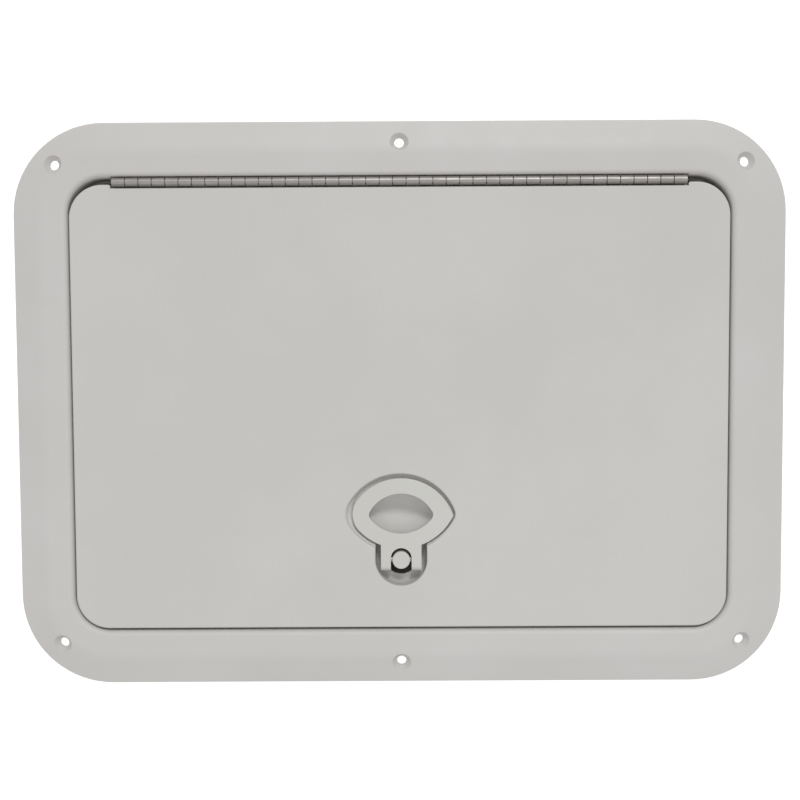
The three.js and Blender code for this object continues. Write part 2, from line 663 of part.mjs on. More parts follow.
// A spring washer whose ring rises and falls three times on its way round.
function waveWasherBody(innerRadius, outerRadius, z0, z1) {
  const waves = 3;
  const steps = 24;
  const thickness = 0.4;
  const swing = (z1 - z0 - thickness) / 2;
  const positions = [];
  const index = [];
  for (let i = 0; i < steps; i++) {
    const angle = (2 * Math.PI * i) / steps;
    const z = (z0 + z1) / 2 + swing * Math.sin(waves * angle);
    const place = (radius, height) =>
      positions.push(radius * Math.cos(angle), SPINDLE_Y + radius * Math.sin(angle), height);
    place(innerRadius, z - thickness / 2);
    place(outerRadius, z - thickness / 2);
    place(outerRadius, z + thickness / 2);
    place(innerRadius, z + thickness / 2);
    for (let k = 0; k < 4; k++) {
      const a = i * 4 + k;
      const b = i * 4 + ((k + 1) % 4);
      const c = ((i + 1) % steps) * 4 + ((k + 1) % 4);
      const d = ((i + 1) % steps) * 4 + k;
      index.push(a, b, c, a, c, d);
    }
  }
  const geometry = new THREE.BufferGeometry();
  geometry.setAttribute("position", new THREE.Float32BufferAttribute(positions, 3));
  geometry.setIndex(index);
  return solid(geometry);
}

// A stamped cam: round about the spindle, reaching forward under the ledge, its tip sloped on top.
function pawlBody() {
  const bottom = PAWL_TOP - PAWL_THICKNESS;
  const heel = arc(0, 0, PAWL_HALF_WIDTH, 0, 180, 8);
  const tipRound = 3;
  const tipHalf = 6;
  const left = arc(tipRound - tipHalf, tipRound - PAWL_REACH, tipRound, 180, 270, 3);
  const right = arc(tipHalf - tipRound, tipRound - PAWL_REACH, tipRound, 270, 360, 3);
  const plate = prism(atSpindle([...heel, ...left, ...right]), bottom, PAWL_TOP);
  const half = SQUARE_SIDE / 2 + 2 * CLOSE_GAP;
  const hole = block(
    [-half, SPINDLE_Y - half, bottom - 1],
    [half, SPINDLE_Y + half, PAWL_TOP + 1],
  );
  const rampLength = 3;
  const rampDrop = 1;
  const tipY = SPINDLE_Y - PAWL_REACH;
  const wedge = new THREE.Shape([
    new THREE.Vector2(tipY - 1, PAWL_TOP + 1),
    new THREE.Vector2(tipY - 1, PAWL_TOP - rampDrop - rampDrop / rampLength),
    new THREE.Vector2(tipY + rampLength, PAWL_TOP),
    new THREE.Vector2(tipY + rampLength, PAWL_TOP + 1),
  ]);
  const ramp = new THREE.ExtrudeGeometry(wedge, { depth: 20, bevelEnabled: false });
  ramp.applyMatrix4(new THREE.Matrix4().set(0, 0, 1, -10, 1, 0, 0, 0, 0, 1, 0, 0, 0, 0, 0, 1));
  return cut(plate, hole, solid(ramp));
}

function nutBody(z0, z1) {
  const acrossCorners = 5.8;
  const hex = rod(0, SPINDLE_Y, z0, z1, acrossCorners, acrossCorners, 6);
  return cut(hex, rod(0, SPINDLE_Y, z0 - 1, z1 + 1, STUD_RADIUS + CLOSE_GAP, STUD_RADIUS + CLOSE_GAP, 12));
}

// A lock washer is a ring with one cut through it.
function lockWasherBody(z0, z1) {
  const ring = washerBody(STUD_RADIUS + 2 * CLOSE_GAP, 5.6, z0, z1);
  return cut(ring, block([2, SPINDLE_Y - 0.4, z0 - 1], [8, SPINDLE_Y + 0.4, z1 + 1]));
}

// ---------- assembly ----------

const hatch = new THREE.Group();

function add(name, body, finish) {
  const mesh = new THREE.Mesh(geometryOf(body), finish);
  mesh.name = name;
  hatch.add(mesh);
}

add("frame", frameBody(), framePlastic);
add("lid_seal", sealBody(), rubber);
add("lid", lidBody(), lidPlastic);
add("hinge_leaf_frame", leafBody(1, 0), stainless);
add("hinge_leaf_lid", leafBody(-1, 1), stainless);
add(
  "hinge_pin",
  bar(HINGE_Y, HINGE_Z, -HINGE_LENGTH / 2, HINGE_LENGTH / 2, HINGE_PIN_RADIUS, SMALL_SIDES),
  stainless,
);
rivetPlaces(0).forEach((x, i) => add(`frame_rivet_${i + 1}`, rivetBody(1, x), stainless));
rivetPlaces(LID_RIVET_SHIFT).forEach((x, i) =>
  add(`lid_rivet_${i + 1}`, rivetBody(-1, x), stainless),
);

add("latch_handle", handleBody(), handlePlastic);
add(
  "latch_pivot_pin",
  bar(SPINDLE_Y, PIVOT_Z, -FORK_HALF_WIDTH + 0.3, FORK_HALF_WIDTH - 0.3, PIVOT_PIN_RADIUS, 12),
  stainless,
);
add("latch_spindle", spindleBody(), handlePlastic);

const boreRadius = SPINDLE_RADIUS + 2 * CLOSE_GAP;
const gasketBottom = GASKET_SEAT_FLOOR + CLOSE_GAP;
add(
  "spindle_gasket",
  washerBody(boreRadius, GASKET_RADIUS, gasketBottom, gasketBottom + GASKET_THICKNESS),
  rubber,
);

const thrustTop = SEAT_BOTTOM - FIT_GAP;
const thrustBottom = thrustTop - 1.2;
const waveBottom = PAWL_TOP + FIT_GAP + 0.2;
add("thrust_washer", washerBody(boreRadius, 9, thrustBottom, thrustTop), nylon);
add(
  "wave_washer",
  waveWasherBody(boreRadius, 8, waveBottom, thrustBottom - FIT_GAP),
  stainless,
);
add("latch_pawl", pawlBody(), stainless);

const lockTop = PAWL_TOP - PAWL_THICKNESS - FIT_GAP;
const lockBottom = lockTop - 1.2;
const nutTop = lockBottom - FIT_GAP;
add("lock_washer", lockWasherBody(lockBottom, lockTop), stainless);
add("latch_nut", nutBody(nutTop - 4.4, nutTop), stainless);

export default hatch;
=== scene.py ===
"""Looks for a moulded deck hatch: every shape is built here in millimetres and stored in metres."""

import math

import bmesh
import bpy
from mathutils import Matrix, Vector


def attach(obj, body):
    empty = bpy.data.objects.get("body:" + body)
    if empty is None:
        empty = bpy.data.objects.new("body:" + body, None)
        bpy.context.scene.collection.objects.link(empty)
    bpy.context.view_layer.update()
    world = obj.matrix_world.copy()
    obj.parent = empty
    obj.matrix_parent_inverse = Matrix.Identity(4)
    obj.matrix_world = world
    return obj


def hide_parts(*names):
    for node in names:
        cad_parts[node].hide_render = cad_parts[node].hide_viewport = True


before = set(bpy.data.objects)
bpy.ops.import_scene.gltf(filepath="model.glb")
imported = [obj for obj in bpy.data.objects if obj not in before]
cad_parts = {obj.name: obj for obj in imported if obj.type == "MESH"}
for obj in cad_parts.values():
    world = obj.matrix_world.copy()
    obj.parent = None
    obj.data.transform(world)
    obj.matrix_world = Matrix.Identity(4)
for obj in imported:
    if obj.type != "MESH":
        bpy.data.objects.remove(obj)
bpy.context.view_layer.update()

MM = 0.001

# ---------- dimensions, the same as the solid model's ----------

OUTER_LENGTH, OUTER_WIDTH, OUTER_CORNER = 381.0, 279.4, 45.0
FLANGE_WIDTH = 27.3
WALL = 3.0
DECK_Z = 26.0
TOP_Z = 33.0
WALL_X = OUTER_LENGTH / 2 - FLANGE_WIDTH
WALL_Y = OUTER_WIDTH / 2 - FLANGE_WIDTH
WALL_CORNER = OUTER_CORNER - FLANGE_WIDTH

FIT_GAP = 0.3  # between pieces that rest on each other
CLOSE_GAP = 0.1  # between a pin and its hole
PAST = 1.0  # how far cutters reach past the faces they cut

LEDGE_WIDTH = 9.0
LEDGE_TOP = TOP_Z - 15.0
LEDGE_BOTTOM = LEDGE_TOP - 2.8
LEDGE_RIM_HEIGHT, LEDGE_RIM_WIDTH = 2.0, 1.4
SEAL_INNER, SEAL_OUTER, SEAL_HEIGHT = -6.4, -1.8, 4.0

HOLE_RADIUS = 2.4
HOLE_OFFSET = 16.7  # from the wall's inner face
COUNTERSINK_RADIUS = 4.7
COUNTERSINK_DEPTH = 3.2
BOSS_RADIUS = 6.0

LID_GAP, LID_SIDE_GAP = 1.2, 0.9
LID_X, LID_Y = WALL_X - LID_SIDE_GAP, WALL_Y - LID_GAP
LID_CORNER = WALL_CORNER - LID_GAP
LID_REAR_TRIM = 2.1
LID_REAR_OUTER = LID_Y - LID_REAR_TRIM
LID_BOTTOM = LEDGE_TOP + SEAL_HEIGHT + FIT_GAP
LID_UNDERSIDE = TOP_Z - WALL
LID_EDGE_ROUND = 0.9

KNUCKLE_PITCH, KNUCKLE_COUNT, KNUCKLE_GAP = 6.55, 43, 0.4
KNUCKLE_RADIUS = 2.1
LEAF = 0.9  # thickness
LEAF_DEPTH = 9.8  # from the hinge axis down
PIN_RADIUS = 1.1
HINGE_HALF = KNUCKLE_PITCH * KNUCKLE_COUNT / 2
HINGE_Y = WALL_Y - KNUCKLE_RADIUS - CLOSE_GAP
HINGE_Z = TOP_Z - 0.6
LID_REAR_Y = HINGE_Y - KNUCKLE_RADIUS - CLOSE_GAP
NOTCH_HALF = HINGE_HALF + 0.9
REBATE = 0.7
REBATE_BOTTOM = HINGE_Z - 4.4
RIVET_DROP = 6.0  # below the hinge axis
RIVET_RADIUS, RIVET_HEAD_RADIUS = 1.2, 2.2
RIVETS_PER_LEAF, RIVET_PITCH, LID_RIVET_SHIFT = 5, 62.0, 9.0

SPINDLE_Y = -77.4
SPINDLE_RADIUS = 4.4
BORE_RADIUS = 4.6
PIVOT_DROP = 3.6  # below the lid's top
PIVOT_Z = TOP_Z - PIVOT_DROP
PIVOT_PIN_RADIUS = 1.5
HANDLE_THICKNESS = 2.8
FORK_HALF_WIDTH, FORK_DEPTH, HEEL_REACH = 10.1, 3.1, 5.5
RECESS_FLOOR = TOP_Z - 3.5
WELL_RADIUS, WELL_FLOOR, WELL_END = 12.8, TOP_Z - 9.8, 12.9
SEAT_BOTTOM = TOP_Z - 14.5
GASKET_FLOOR = WELL_FLOOR - 1.3
GASKET_RADIUS = 8.4
STUD_RADIUS = 3.0

# The stack on the spindle, from the boss down.
THRUST_TOP = SEAT_BOTTOM - FIT_GAP
THRUST_BOTTOM = THRUST_TOP - 1.2
PAWL_TOP = LEDGE_BOTTOM - FIT_GAP
PAWL_BOTTOM = PAWL_TOP - 2.5
LOCK_BOTTOM = PAWL_BOTTOM - FIT_GAP - 1.2
NUT_TOP = LOCK_BOTTOM - FIT_GAP
NUT_BOTTOM = NUT_TOP - 4.4
SPINDLE_END = PAWL_TOP - 9.9

# ---------- outlines ----------


def arc(cx, cy, radius, start, end, steps):
    """Points from one angle to another, in degrees, both ends included."""
    angles = [math.radians(start + (end - start) * i / steps) for i in range(steps + 1)]
    return [(cx + radius * math.cos(a), cy + radius * math.sin(a)) for a in angles]


def quarter(steps, first=0):
    """Angles in radians from zero to a right angle."""
    return [math.pi / 2 * i / steps for i in range(first, steps + 1)]


def quarter_round(radius, steps):
    """(inset, drop) pairs of a rounded edge, from its foot to its crown."""
    return [(radius * (1 - math.cos(a)), radius * (1 - math.sin(a))) for a in quarter(steps)]


def rounded_rectangle(half_x, half_y, radius):
    """Corners are arcs; long sides carry a few extra points so that faces stay well shaped."""
    corner_steps, side_steps, long_side = 18, 8, 40
    points = []
    for sx, sy, start in ((1, 1, 0), (-1, 1, 90), (-1, -1, 180), (1, -1, 270)):
        centre = sx * (half_x - radius), sy * (half_y - radius)
        points += arc(*centre, radius, start, start + 90, corner_steps)
    filled = []
    for i, a in enumerate(points):
        b = points[(i + 1) % len(points)]
        filled.append(a)
        if math.dist(a, b) > long_side:
            for k in range(1, side_steps):
                filled.append(tuple(p + (q - p) * k / side_steps for p, q in zip(a, b)))
    return filled


def wall_loop(offset):
    return rounded_rectangle(WALL_X + offset, WALL_Y + offset, WALL_CORNER + offset)


def lid_loop(offset):
    """The lid stops a little shorter on the hinge side than on the others."""
    shift = LID_REAR_TRIM / 2
    loop = rounded_rectangle(LID_X + offset, LID_Y - shift + offset, LID_CORNER + offset)
    return [(x, y - shift) for x, y in loop]


def rounded(corners, steps):
    """A closed outline from (x, y, radius) corners, each corner rounded by its radius."""
    nearly_straight = math.radians(89)
    points = []
    for i, (x, y, radius) in enumerate(corners):
        here = Vector((x, y))
        back = Vector(corners[i - 1][:2]) - here
        ahead = Vector(corners[(i + 1) % len(corners)][:2]) - here
        half = back.angle(ahead) / 2 if radius > 0 else 0.0
        if radius <= 0 or half > nearly_straight:
            points.append((x, y))
            continue
        reach = min(radius / math.tan(half), 0.49 * back.length, 0.49 * ahead.length)
        radius = reach * math.tan(half)
        middle = (back.normalized() + ahead.normalized()).normalized()
        centre = here + middle * radius / math.sin(half)
        first = here + back.normalized() * reach - centre
        last = here + ahead.normalized() * reach - centre
        start = math.atan2(first.y, first.x)
        turn = (math.atan2(last.y, last.x) - start + math.pi) % (2 * math.pi) - math.pi
        for k in range(steps + 1):
            a = start + turn * k / steps
            points.append((centre.x + radius * math.cos(a), centre.y + radius * math.sin(a)))
    return points


# Each arc of a lens is a centre on the spindle's Y axis and a radius.
UPPER_ARC, LOWER_ARC = (13.6, 27.5), (34.65, 28.9)
OPENING_UPPER, OPENING_LOWER = (15.6, 17.9), (32.9, 19.5)
LEFT_TIP, RIGHT_TIP, RECESS_TIP, OPENING_TIP = 12.0, 1.6, 4.0, 3.2
RECESS_LEFT_TIP, RAMP_FOOT_TIP, RAMP_FOOT_SHIFT = 8.0, 14.0, 0.5
RECESS_SHIFT = (-0.5, 0.5)
HANDLE_CLEARANCE = 1.7


def lens_tip(upper, lower, radius):
    """The centre of a lens's tip, and the angles where it meets the upper and the lower arc."""
    across = lower[0] - upper[0]
    a, b = upper[1] - radius, lower[1] - radius
    y = upper[0] + (across * across + a * a - b * b) / (2 * across)
    x = math.sqrt(a * a - (y - upper[0]) ** 2)
    ends = [math.degrees(math.atan2(y - centre, x)) for centre in (upper[0], lower[0])]
    return x, y, *ends


def lens(upper, lower, left_radius, right_radius, offset):
    steps, tip_steps = 40, 10
    lx, ly, l_up, l_low = lens_tip(upper, lower, left_radius)
    rx, ry, r_up, r_low = lens_tip(upper, lower, right_radius)
    top = arc(0, upper[0], upper[1] + offset, r_up, 180 - l_up, steps)
    left = arc(-lx, ly, left_radius + offset, 180 - l_up, 180 - l_low, tip_steps)
    bottom = arc(0, lower[0], lower[1] + offset, -180 - l_low, r_low, steps)
    right = arc(rx, ry, right_radius + offset, r_low, r_up, tip_steps)
    return top + left[1:-1] + bottom + right[1:-1]


def at_spindle(loop, dx=0.0, dy=0.0):
    return [(x + dx, y + dy + SPINDLE_Y) for x, y in loop]


def handle_lens(offset):
    return at_spindle(lens(UPPER_ARC, LOWER_ARC, LEFT_TIP, RIGHT_TIP, offset))


def recess_lens(offset, dx=0.0, dy=0.0, left_tip=RECESS_LEFT_TIP):
    loop = lens(UPPER_ARC, LOWER_ARC, left_tip, RECESS_TIP, offset)
    return at_spindle(loop, RECESS_SHIFT[0] + dx, RECESS_SHIFT[1] + dy)


def well_loop(offset):
    """The U of the fork's well: a half round in front, straight sides and a flat back."""
    radius = WELL_RADIUS + offset
    sides = [(radius, WELL_END * k / 4) for k in range(1, 5)]
    back = [(radius * (1 - k / 5), WELL_END) for k in range(1, 10)]
    front = arc(0, 0, radius, 180, 360, 36)
    return at_spindle(front + sides + back + [(-x, y) for x, y in sides[::-1]])


# ---------- meshes ----------


def in_scene(name, data):
    made = bpy.data.objects.new(name, data)
    bpy.context.scene.collection.objects.link(made)
    return made


def new_object(name, verts, faces):
    """An object in millimetres. finish_piece() turns it into metres."""
    mesh = bpy.data.meshes.new(name)
    mesh.from_pydata([tuple(v) for v in verts], [], faces)
    bm = bmesh.new()
    bm.from_mesh(mesh)
    bmesh.ops.remove_doubles(bm, verts=bm.verts, dist=1e-5)
    bmesh.ops.recalc_face_normals(bm, faces=bm.faces)
    bm.to_mesh(mesh)
    bm.free()
    return in_scene(name, mesh)


def side_faces(count, rings, closed=False):
    """Quads between rings of count points. A closed stack joins its last ring to its first."""
    faces = []
    for i in range(rings if closed else rings - 1):
        above = (i + 1) % rings
        for j in range(count):
            k = (j + 1) % count
            faces.append((i * count + j, i * count + k, above * count + k, above * count + j))
    return faces


def sweep(profile, loop_at):
    """A closed profile of (offset, z) carried round the outlines loop_at gives."""
    loops = [loop_at(offset) for offset, _ in profile]
    verts = [(x, y, z) for loop, (_, z) in zip(loops, profile) for x, y in loop]
    return verts, side_faces(len(loops[0]), len(loops), closed=True)


def loft_points(levels):
    """A skin through rings of points, closed by a cap at each end."""
    count = len(levels[0])
    verts = [point for ring in levels for point in ring]
    faces = [tuple(range(count))[::-1], tuple(range(len(verts) - count, len(verts)))]
    return verts, faces + side_faces(count, len(levels))


def loft(levels):
    """A skin through (loop, z) levels, closed by a flat cap at each end."""
    return loft_points([[(x, y, z) for x, y in loop] for loop, z in levels])


def prism(loop, z0, z1):
    return loft([(loop, z0), (loop, z1)])


def box(low, high):
    loop = [(low[0], low[1]), (high[0], low[1]), (high[0], high[1]), (low[0], high[1])]
    return prism(loop, low[2], high[2])


def slab(outline, x0, x1):
    """A (y, z) outline given a thickness along X."""
    count = len(outline)
    verts = [(x, y, z) for x in (x0, x1) for y, z in outline]
    caps = [tuple(range(count)), tuple(range(2 * count - 1, count - 1, -1))]
    return verts, caps + side_faces(count, 2)


def revolve(profile, centre=(0.0, 0.0), sides=48, closed=False):
    """(radius, z) points turned about a vertical axis. An open profile starts and ends on it."""
    verts, rings = [], []
    for radius, z in profile:
        if radius < 1e-6:
            rings.append([len(verts)] * sides)
            verts.append((centre[0], centre[1], z))
            continue
        rings.append(list(range(len(verts), len(verts) + sides)))
        for k in range(sides):
            a = 2 * math.pi * k / sides
            verts.append((centre[0] + radius * math.cos(a), centre[1] + radius * math.sin(a), z))
    faces = []
    for i in range(len(rings) if closed else len(rings) - 1):
        a, b = rings[i], rings[(i + 1) % len(rings)]
        for j in range(sides):
            k = (j + 1) % sides
            corners = []
            for v in (a[j], a[k], b[k], b[j]):
                if v not in corners:
                    corners.append(v)
            if len(corners) > 2:
                faces.append(tuple(corners))
    return verts, faces


def about_spindle(profile, sides, closed=False):
    return revolve(profile, (0, SPINDLE_Y), sides, closed)


def bar(radius, half, sides):
    """A plain round body about the Z axis."""
    return revolve([(0, -half), (radius, -half), (radius, half), (0, half)], sides=sides)


def merged(parts):
    """Several (verts, faces) bodies, which don't touch, as one."""
    verts, faces = [], []
    for part_verts, part_faces in parts:
        base = len(verts)
        verts += list(part_verts)
        faces += [tuple(v + base for v in face) for face in part_faces]
    return verts, faces


def turned_to_x(body, centre_y, centre_z):
    """A body made about the Z axis, laid along X."""
    verts, faces = body
    return [(z, x + centre_y, y + centre_z) for x, y, z in verts], faces


def turned_to_y(body, x0, z0, sign=1):
    """A body made about the Z axis, laid along Y, its +Z pointing to sign * Y."""
    verts, faces = body
    return [(x + x0, z * sign, y + z0) for x, y, z in verts], faces


def boolean(target, body, operation="DIFFERENCE"):
    """Cuts or joins a (verts, faces) body, and leaves the result in target."""
    tool = new_object("tool", *body)
    step = target.modifiers.new("step", "BOOLEAN")
    step.operation = operation
    step.solver = "EXACT"
    step.object = tool
    graph = bpy.context.evaluated_depsgraph_get()
    result = bpy.data.meshes.new_from_object(target.evaluated_get(graph))
    target.modifiers.clear()
    old, target.data = target.data, result
    bpy.data.meshes.remove(old)
    old = tool.data
    bpy.data.objects.remove(tool)
    bpy.data.meshes.remove(old)


def soften(target, width, angle, segments, where=lambda point: True):
    """Rounds the edges sharper than an angle, in the region that where(point) picks."""
    bm = bmesh.new()
    bm.from_mesh(target.data)
    weld = 2e-3
    bmesh.ops.remove_doubles(bm, verts=bm.verts, dist=weld)
    bmesh.ops.dissolve_degenerate(bm, dist=weld, edges=bm.edges)
    limit = math.radians(angle)
    edges = []
    for edge in bm.edges:
        sharp = len(edge.link_faces) == 2 and edge.calc_face_angle(0) >= limit
        if sharp and all(where(v.co) for v in edge.verts):
            edges.append(edge)
    bmesh.ops.bevel(
        bm, geom=edges, offset=width, offset_type="OFFSET", segments=segments, profile=0.5,
        affect="EDGES", clamp_overlap=True, loop_slide=True,
    )
    bmesh.ops.recalc_face_normals(bm, faces=bm.faces)
    bm.to_mesh(target.data)
    bm.free()


def finish_piece(target, body, material, replaces, bevel=0.0, angle=40):
    """Metres, smooth shading, softened edges, the piece's body and material, and the parts it
    replaces hidden.
    """
    mesh = target.data
    mesh.transform(Matrix.Scale(MM, 4))
    mesh.polygons.foreach_set("use_smooth", [True] * len(mesh.polygons))
    mesh.materials.clear()
    mesh.materials.append(material)
    if bevel:
        step = target.modifiers.new("edges", "BEVEL")
        step.width = bevel * MM
        step.segments = 3
        step.limit_method = "ANGLE"
        step.angle_limit = math.radians(angle)
        step.use_clamp_overlap = True
        step.miter_outer = "MITER_ARC"
        step.harden_normals = False
    else:
        mesh.set_sharp_from_angle(angle=math.radians(angle))
    weigh = target.modifiers.new("normals", "WEIGHTED_NORMAL")
    weigh.keep_sharp = True
    weigh.weight = 60
    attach(target, body)
    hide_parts(*replaces)


# ---------- materials ----------


class Nodes:
    """A material's node tree with short calls for the nodes used here."""

    def __init__(self, name):
        self.material = bpy.data.materials.new(name)
        self.material.use_nodes = True
        self.tree = self.material.node_tree
        self.shader = self.tree.nodes["Principled BSDF"]
        self.coords = self.tree.nodes.new("ShaderNodeTexCoord").outputs["Object"]

    def new(self, kind, values, vector=None):
        """A node with its sockets' values set, and its coordinates linked where they are given."""
        node = self.tree.nodes.new("ShaderNode" + kind)
        for socket, value in values.items():
            node.inputs[socket].default_value = value
        if vector:
            self.link(vector, node, "Vector")
        return node

    def link(self, source, node, socket):
        self.tree.links.new(source, node.inputs[socket])

    def put(self, node, socket, value):
        """A value or another node's output into a socket."""
        if isinstance(value, (int, float, tuple)):
            node.inputs[socket].default_value = value
        else:
            self.link(value, node, socket)

    def look(self, **sockets):
        """Values or outputs into the shader. Underscores stand for the spaces in its names."""
        for socket, value in sockets.items():
            self.put(self.shader, socket.replace("_", " "), value)

    def stretched(self, scale):
        return self.new("Mapping", {"Scale": scale}, self.coords).outputs["Vector"]

    def noise(self, scale, detail=3.0, roughness=0.55, coords=None):
        values = {"Scale": scale, "Detail": detail, "Roughness": roughness}
        return self.new("TexNoise", values, coords or self.coords).outputs["Fac"]

    def cells(self, scale, smoothness):
        node = self.new("TexVoronoi", {"Scale": scale}, self.coords)
        node.feature = "SMOOTH_F1"  # only then is there a smoothness
        self.put(node, "Smoothness", smoothness)
        return node.outputs["Distance"]

    def spread(self, value, to, over=(0.3, 0.7)):
        """The part of a value's range in over, stretched to the range in to."""
        sockets = ("From Min", "From Max", "To Min", "To Max")
        node = self.new("MapRange", dict(zip(sockets, (*over, *to))))
        self.link(value, node, "Value")
        return node.outputs["Result"]

    def math(self, operation, a, b):
        node = self.new("Math", {})
        node.operation = operation
        self.put(node, 0, a)
        self.put(node, 1, b)
        return node.outputs[0]

    def mix(self, factor, a, b):
        """Two colours or sockets mixed. In RGBA mode the sockets are known by number only."""
        factor_socket, first, second, result = 0, 6, 7, 2
        node = self.new("Mix", {})
        node.data_type = "RGBA"
        self.link(factor, node, factor_socket)
        for socket, value in ((first, a), (second, b)):
            self.put(node, socket, (*value, 1.0) if isinstance(value, tuple) else value)
        return node.outputs[result]

    def bump(self, height, distance_mm):
        node = self.new("Bump", {"Strength": 1.0, "Distance": distance_mm * MM})
        self.link(height, node, "Height")
        self.look(Normal=node.outputs["Normal"])

    def edges(self):
        return self.new("NewGeometry", {}).outputs["Pointiness"]


def scaled(colour, factor):
    return tuple(c * factor for c in colour)


def moulded_plastic(name, colour, roughness, grain_mm, depth_mm, coarse):
    """Injection-moulded plastic: clouded colour, a pebbled grain, specks, and painted shade in
    creases.
    """
    n = Nodes(name)
    clouds = n.noise(11, 4, 0.6)
    specks = n.noise(900, 2, 0.5)
    light = tuple(min(1.0, c * 1.018) for c in colour)
    dark = tuple(c * darker for c, darker in zip(colour, (0.972, 0.968, 0.957)))
    tone = n.mix(n.spread(clouds, (0, 1), (0.35, 0.65)), dark, light)
    speckled = n.mix(n.spread(specks, (0, 0.22), (0.62, 0.78)), tone, scaled(colour, 0.86))
    # Painted shade: hollows and creases, found by low pointiness, are darkened towards 0.8 of the
    # colour.
    painted_crease_shade = n.mix(n.spread(n.edges(), (0.12, 0), (0.42, 0.49)), speckled, scaled(colour, 0.8))
    pebbles = n.cells(1000 / grain_mm, 0.8)
    ripples = n.noise(520 / grain_mm, 3, 0.6)
    fine_share = n.math("MULTIPLY", pebbles, 1 - coarse)
    n.bump(n.math("ADD", fine_share, n.math("MULTIPLY", ripples, coarse)), depth_mm)
    scuffs = n.noise(70, 5, 0.65)
    gloss = n.spread(scuffs, (roughness - 0.05, roughness + 0.06))
    n.look(Base_Color=painted_crease_shade, Roughness=gloss, Specular_IOR_Level=0.42)
    return n.material


def brushed_steel(name, colour, roughness, stretch=(0.05, 1.0, 1.0), depth_mm=0.006):
    """Rolled stainless steel: fine lines along the stretched axis, faint tarnish, varied gloss."""
    n = Nodes(name)
    lines = n.noise(2600, 3, 0.6, n.stretched(stretch))
    broad = n.noise(420, 4, 0.6, n.stretched(stretch))
    tarnish = n.noise(60, 5, 0.65)
    bright = tuple(min(1, c * 1.06) for c in colour)
    metal = n.mix(n.spread(broad, (0, 1)), scaled(colour, 0.9), bright)
    stained = tuple(c * darker for c, darker in zip(colour, (0.8, 0.76, 0.7)))
    worn = n.mix(n.spread(tarnish, (0, 0.4), (0.5, 0.75)), metal, stained)
    gloss = n.spread(lines, (roughness - 0.07, roughness + 0.1))
    n.look(Base_Color=worn, Metallic=1.0, Roughness=gloss)
    n.bump(lines, depth_mm)
    return n.material


def black_rubber(name, colour, roughness, grain_mm):
    """Moulded rubber: a dull skin with fine pores, a greyish bloom and dusty edges."""
    n = Nodes(name)
    bloom = n.noise(45, 5, 0.7)
    pale = tuple(c + 0.03 for c in colour)
    tone = n.mix(n.spread(bloom, (0, 1), (0.4, 0.75)), colour, pale)
    dusty = n.mix(n.spread(n.edges(), (0, 0.5), (0.52, 0.6)), tone, (0.09, 0.09, 0.088))
    gloss = n.spread(n.noise(300, 3), (roughness - 0.08, roughness + 0.12))
    n.look(Base_Color=dusty, Roughness=gloss, Specular_IOR_Level=0.3)
    n.bump(n.noise(1000 / grain_mm, 3, 0.6), 0.02)
    return n.material


def nylon(name):
    """Natural nylon: milky, with faint turning marks."""
    n = Nodes(name)
    rings = n.noise(1500, 2, 0.5, n.stretched((1, 1, 0.1)))
    tone = n.mix(n.spread(n.noise(90, 4), (0, 1)), (0.62, 0.6, 0.53), (0.7, 0.68, 0.61))
    n.look(Base_Color=tone, Roughness=n.spread(rings, (0.42, 0.58)))
    n.look(Subsurface_Weight=0.1, Subsurface_Scale=0.001)
    n.bump(rings, 0.008)
    return n.material


# Colour, roughness, grain size and depth in millimetres, and the share of the coarse ripples.
FRAME_PLASTIC = moulded_plastic("frame_plastic", (0.663, 0.647, 0.631), 0.5, 0.7, 0.03, 0.6)
LID_PLASTIC = moulded_plastic("lid_plastic", (0.66, 0.652, 0.63), 0.56, 1.0, 0.07, 0.5)
HANDLE_PLASTIC = moulded_plastic("handle_plastic", (0.665, 0.66, 0.63), 0.42, 0.6, 0.018, 0.6)
STEEL = brushed_steel("hinge_steel", (0.4, 0.38, 0.366), 0.47)
STEEL_PRESSED = brushed_steel("pressed_steel", (0.62, 0.6, 0.575), 0.36, (1.0, 0.08, 1.0))
STEEL_TURNED = brushed_steel("turned_steel", (0.5, 0.488, 0.47), 0.42, (1.0, 1.0, 6.0), 0.004)
RUBBER = black_rubber("seal_rubber", (0.022, 0.022, 0.023), 0.62, 0.5)
GASKET_RUBBER = black_rubber("gasket_rubber", (0.008, 0.008, 0.008), 0.66, 0.3)
NYLON = nylon("washer_nylon")

# ---------- frame ----------

# The flange's crown is flat, then bends into an even slope that runs to the outer edge.
CROWN_END, SLOPE_START, STEEPNESS = 10.5, 16.0, 0.25
CROWN_ROUND = 3.0
RIM_WIDTH = 3.0  # the part of the flange that stands on the deck


def flange_height(offset):
    past, bend = max(0.0, offset - CROWN_END), SLOPE_START - CROWN_END
    return TOP_Z - STEEPNESS * (past * past / (2 * bend) if past < bend else past - bend / 2)


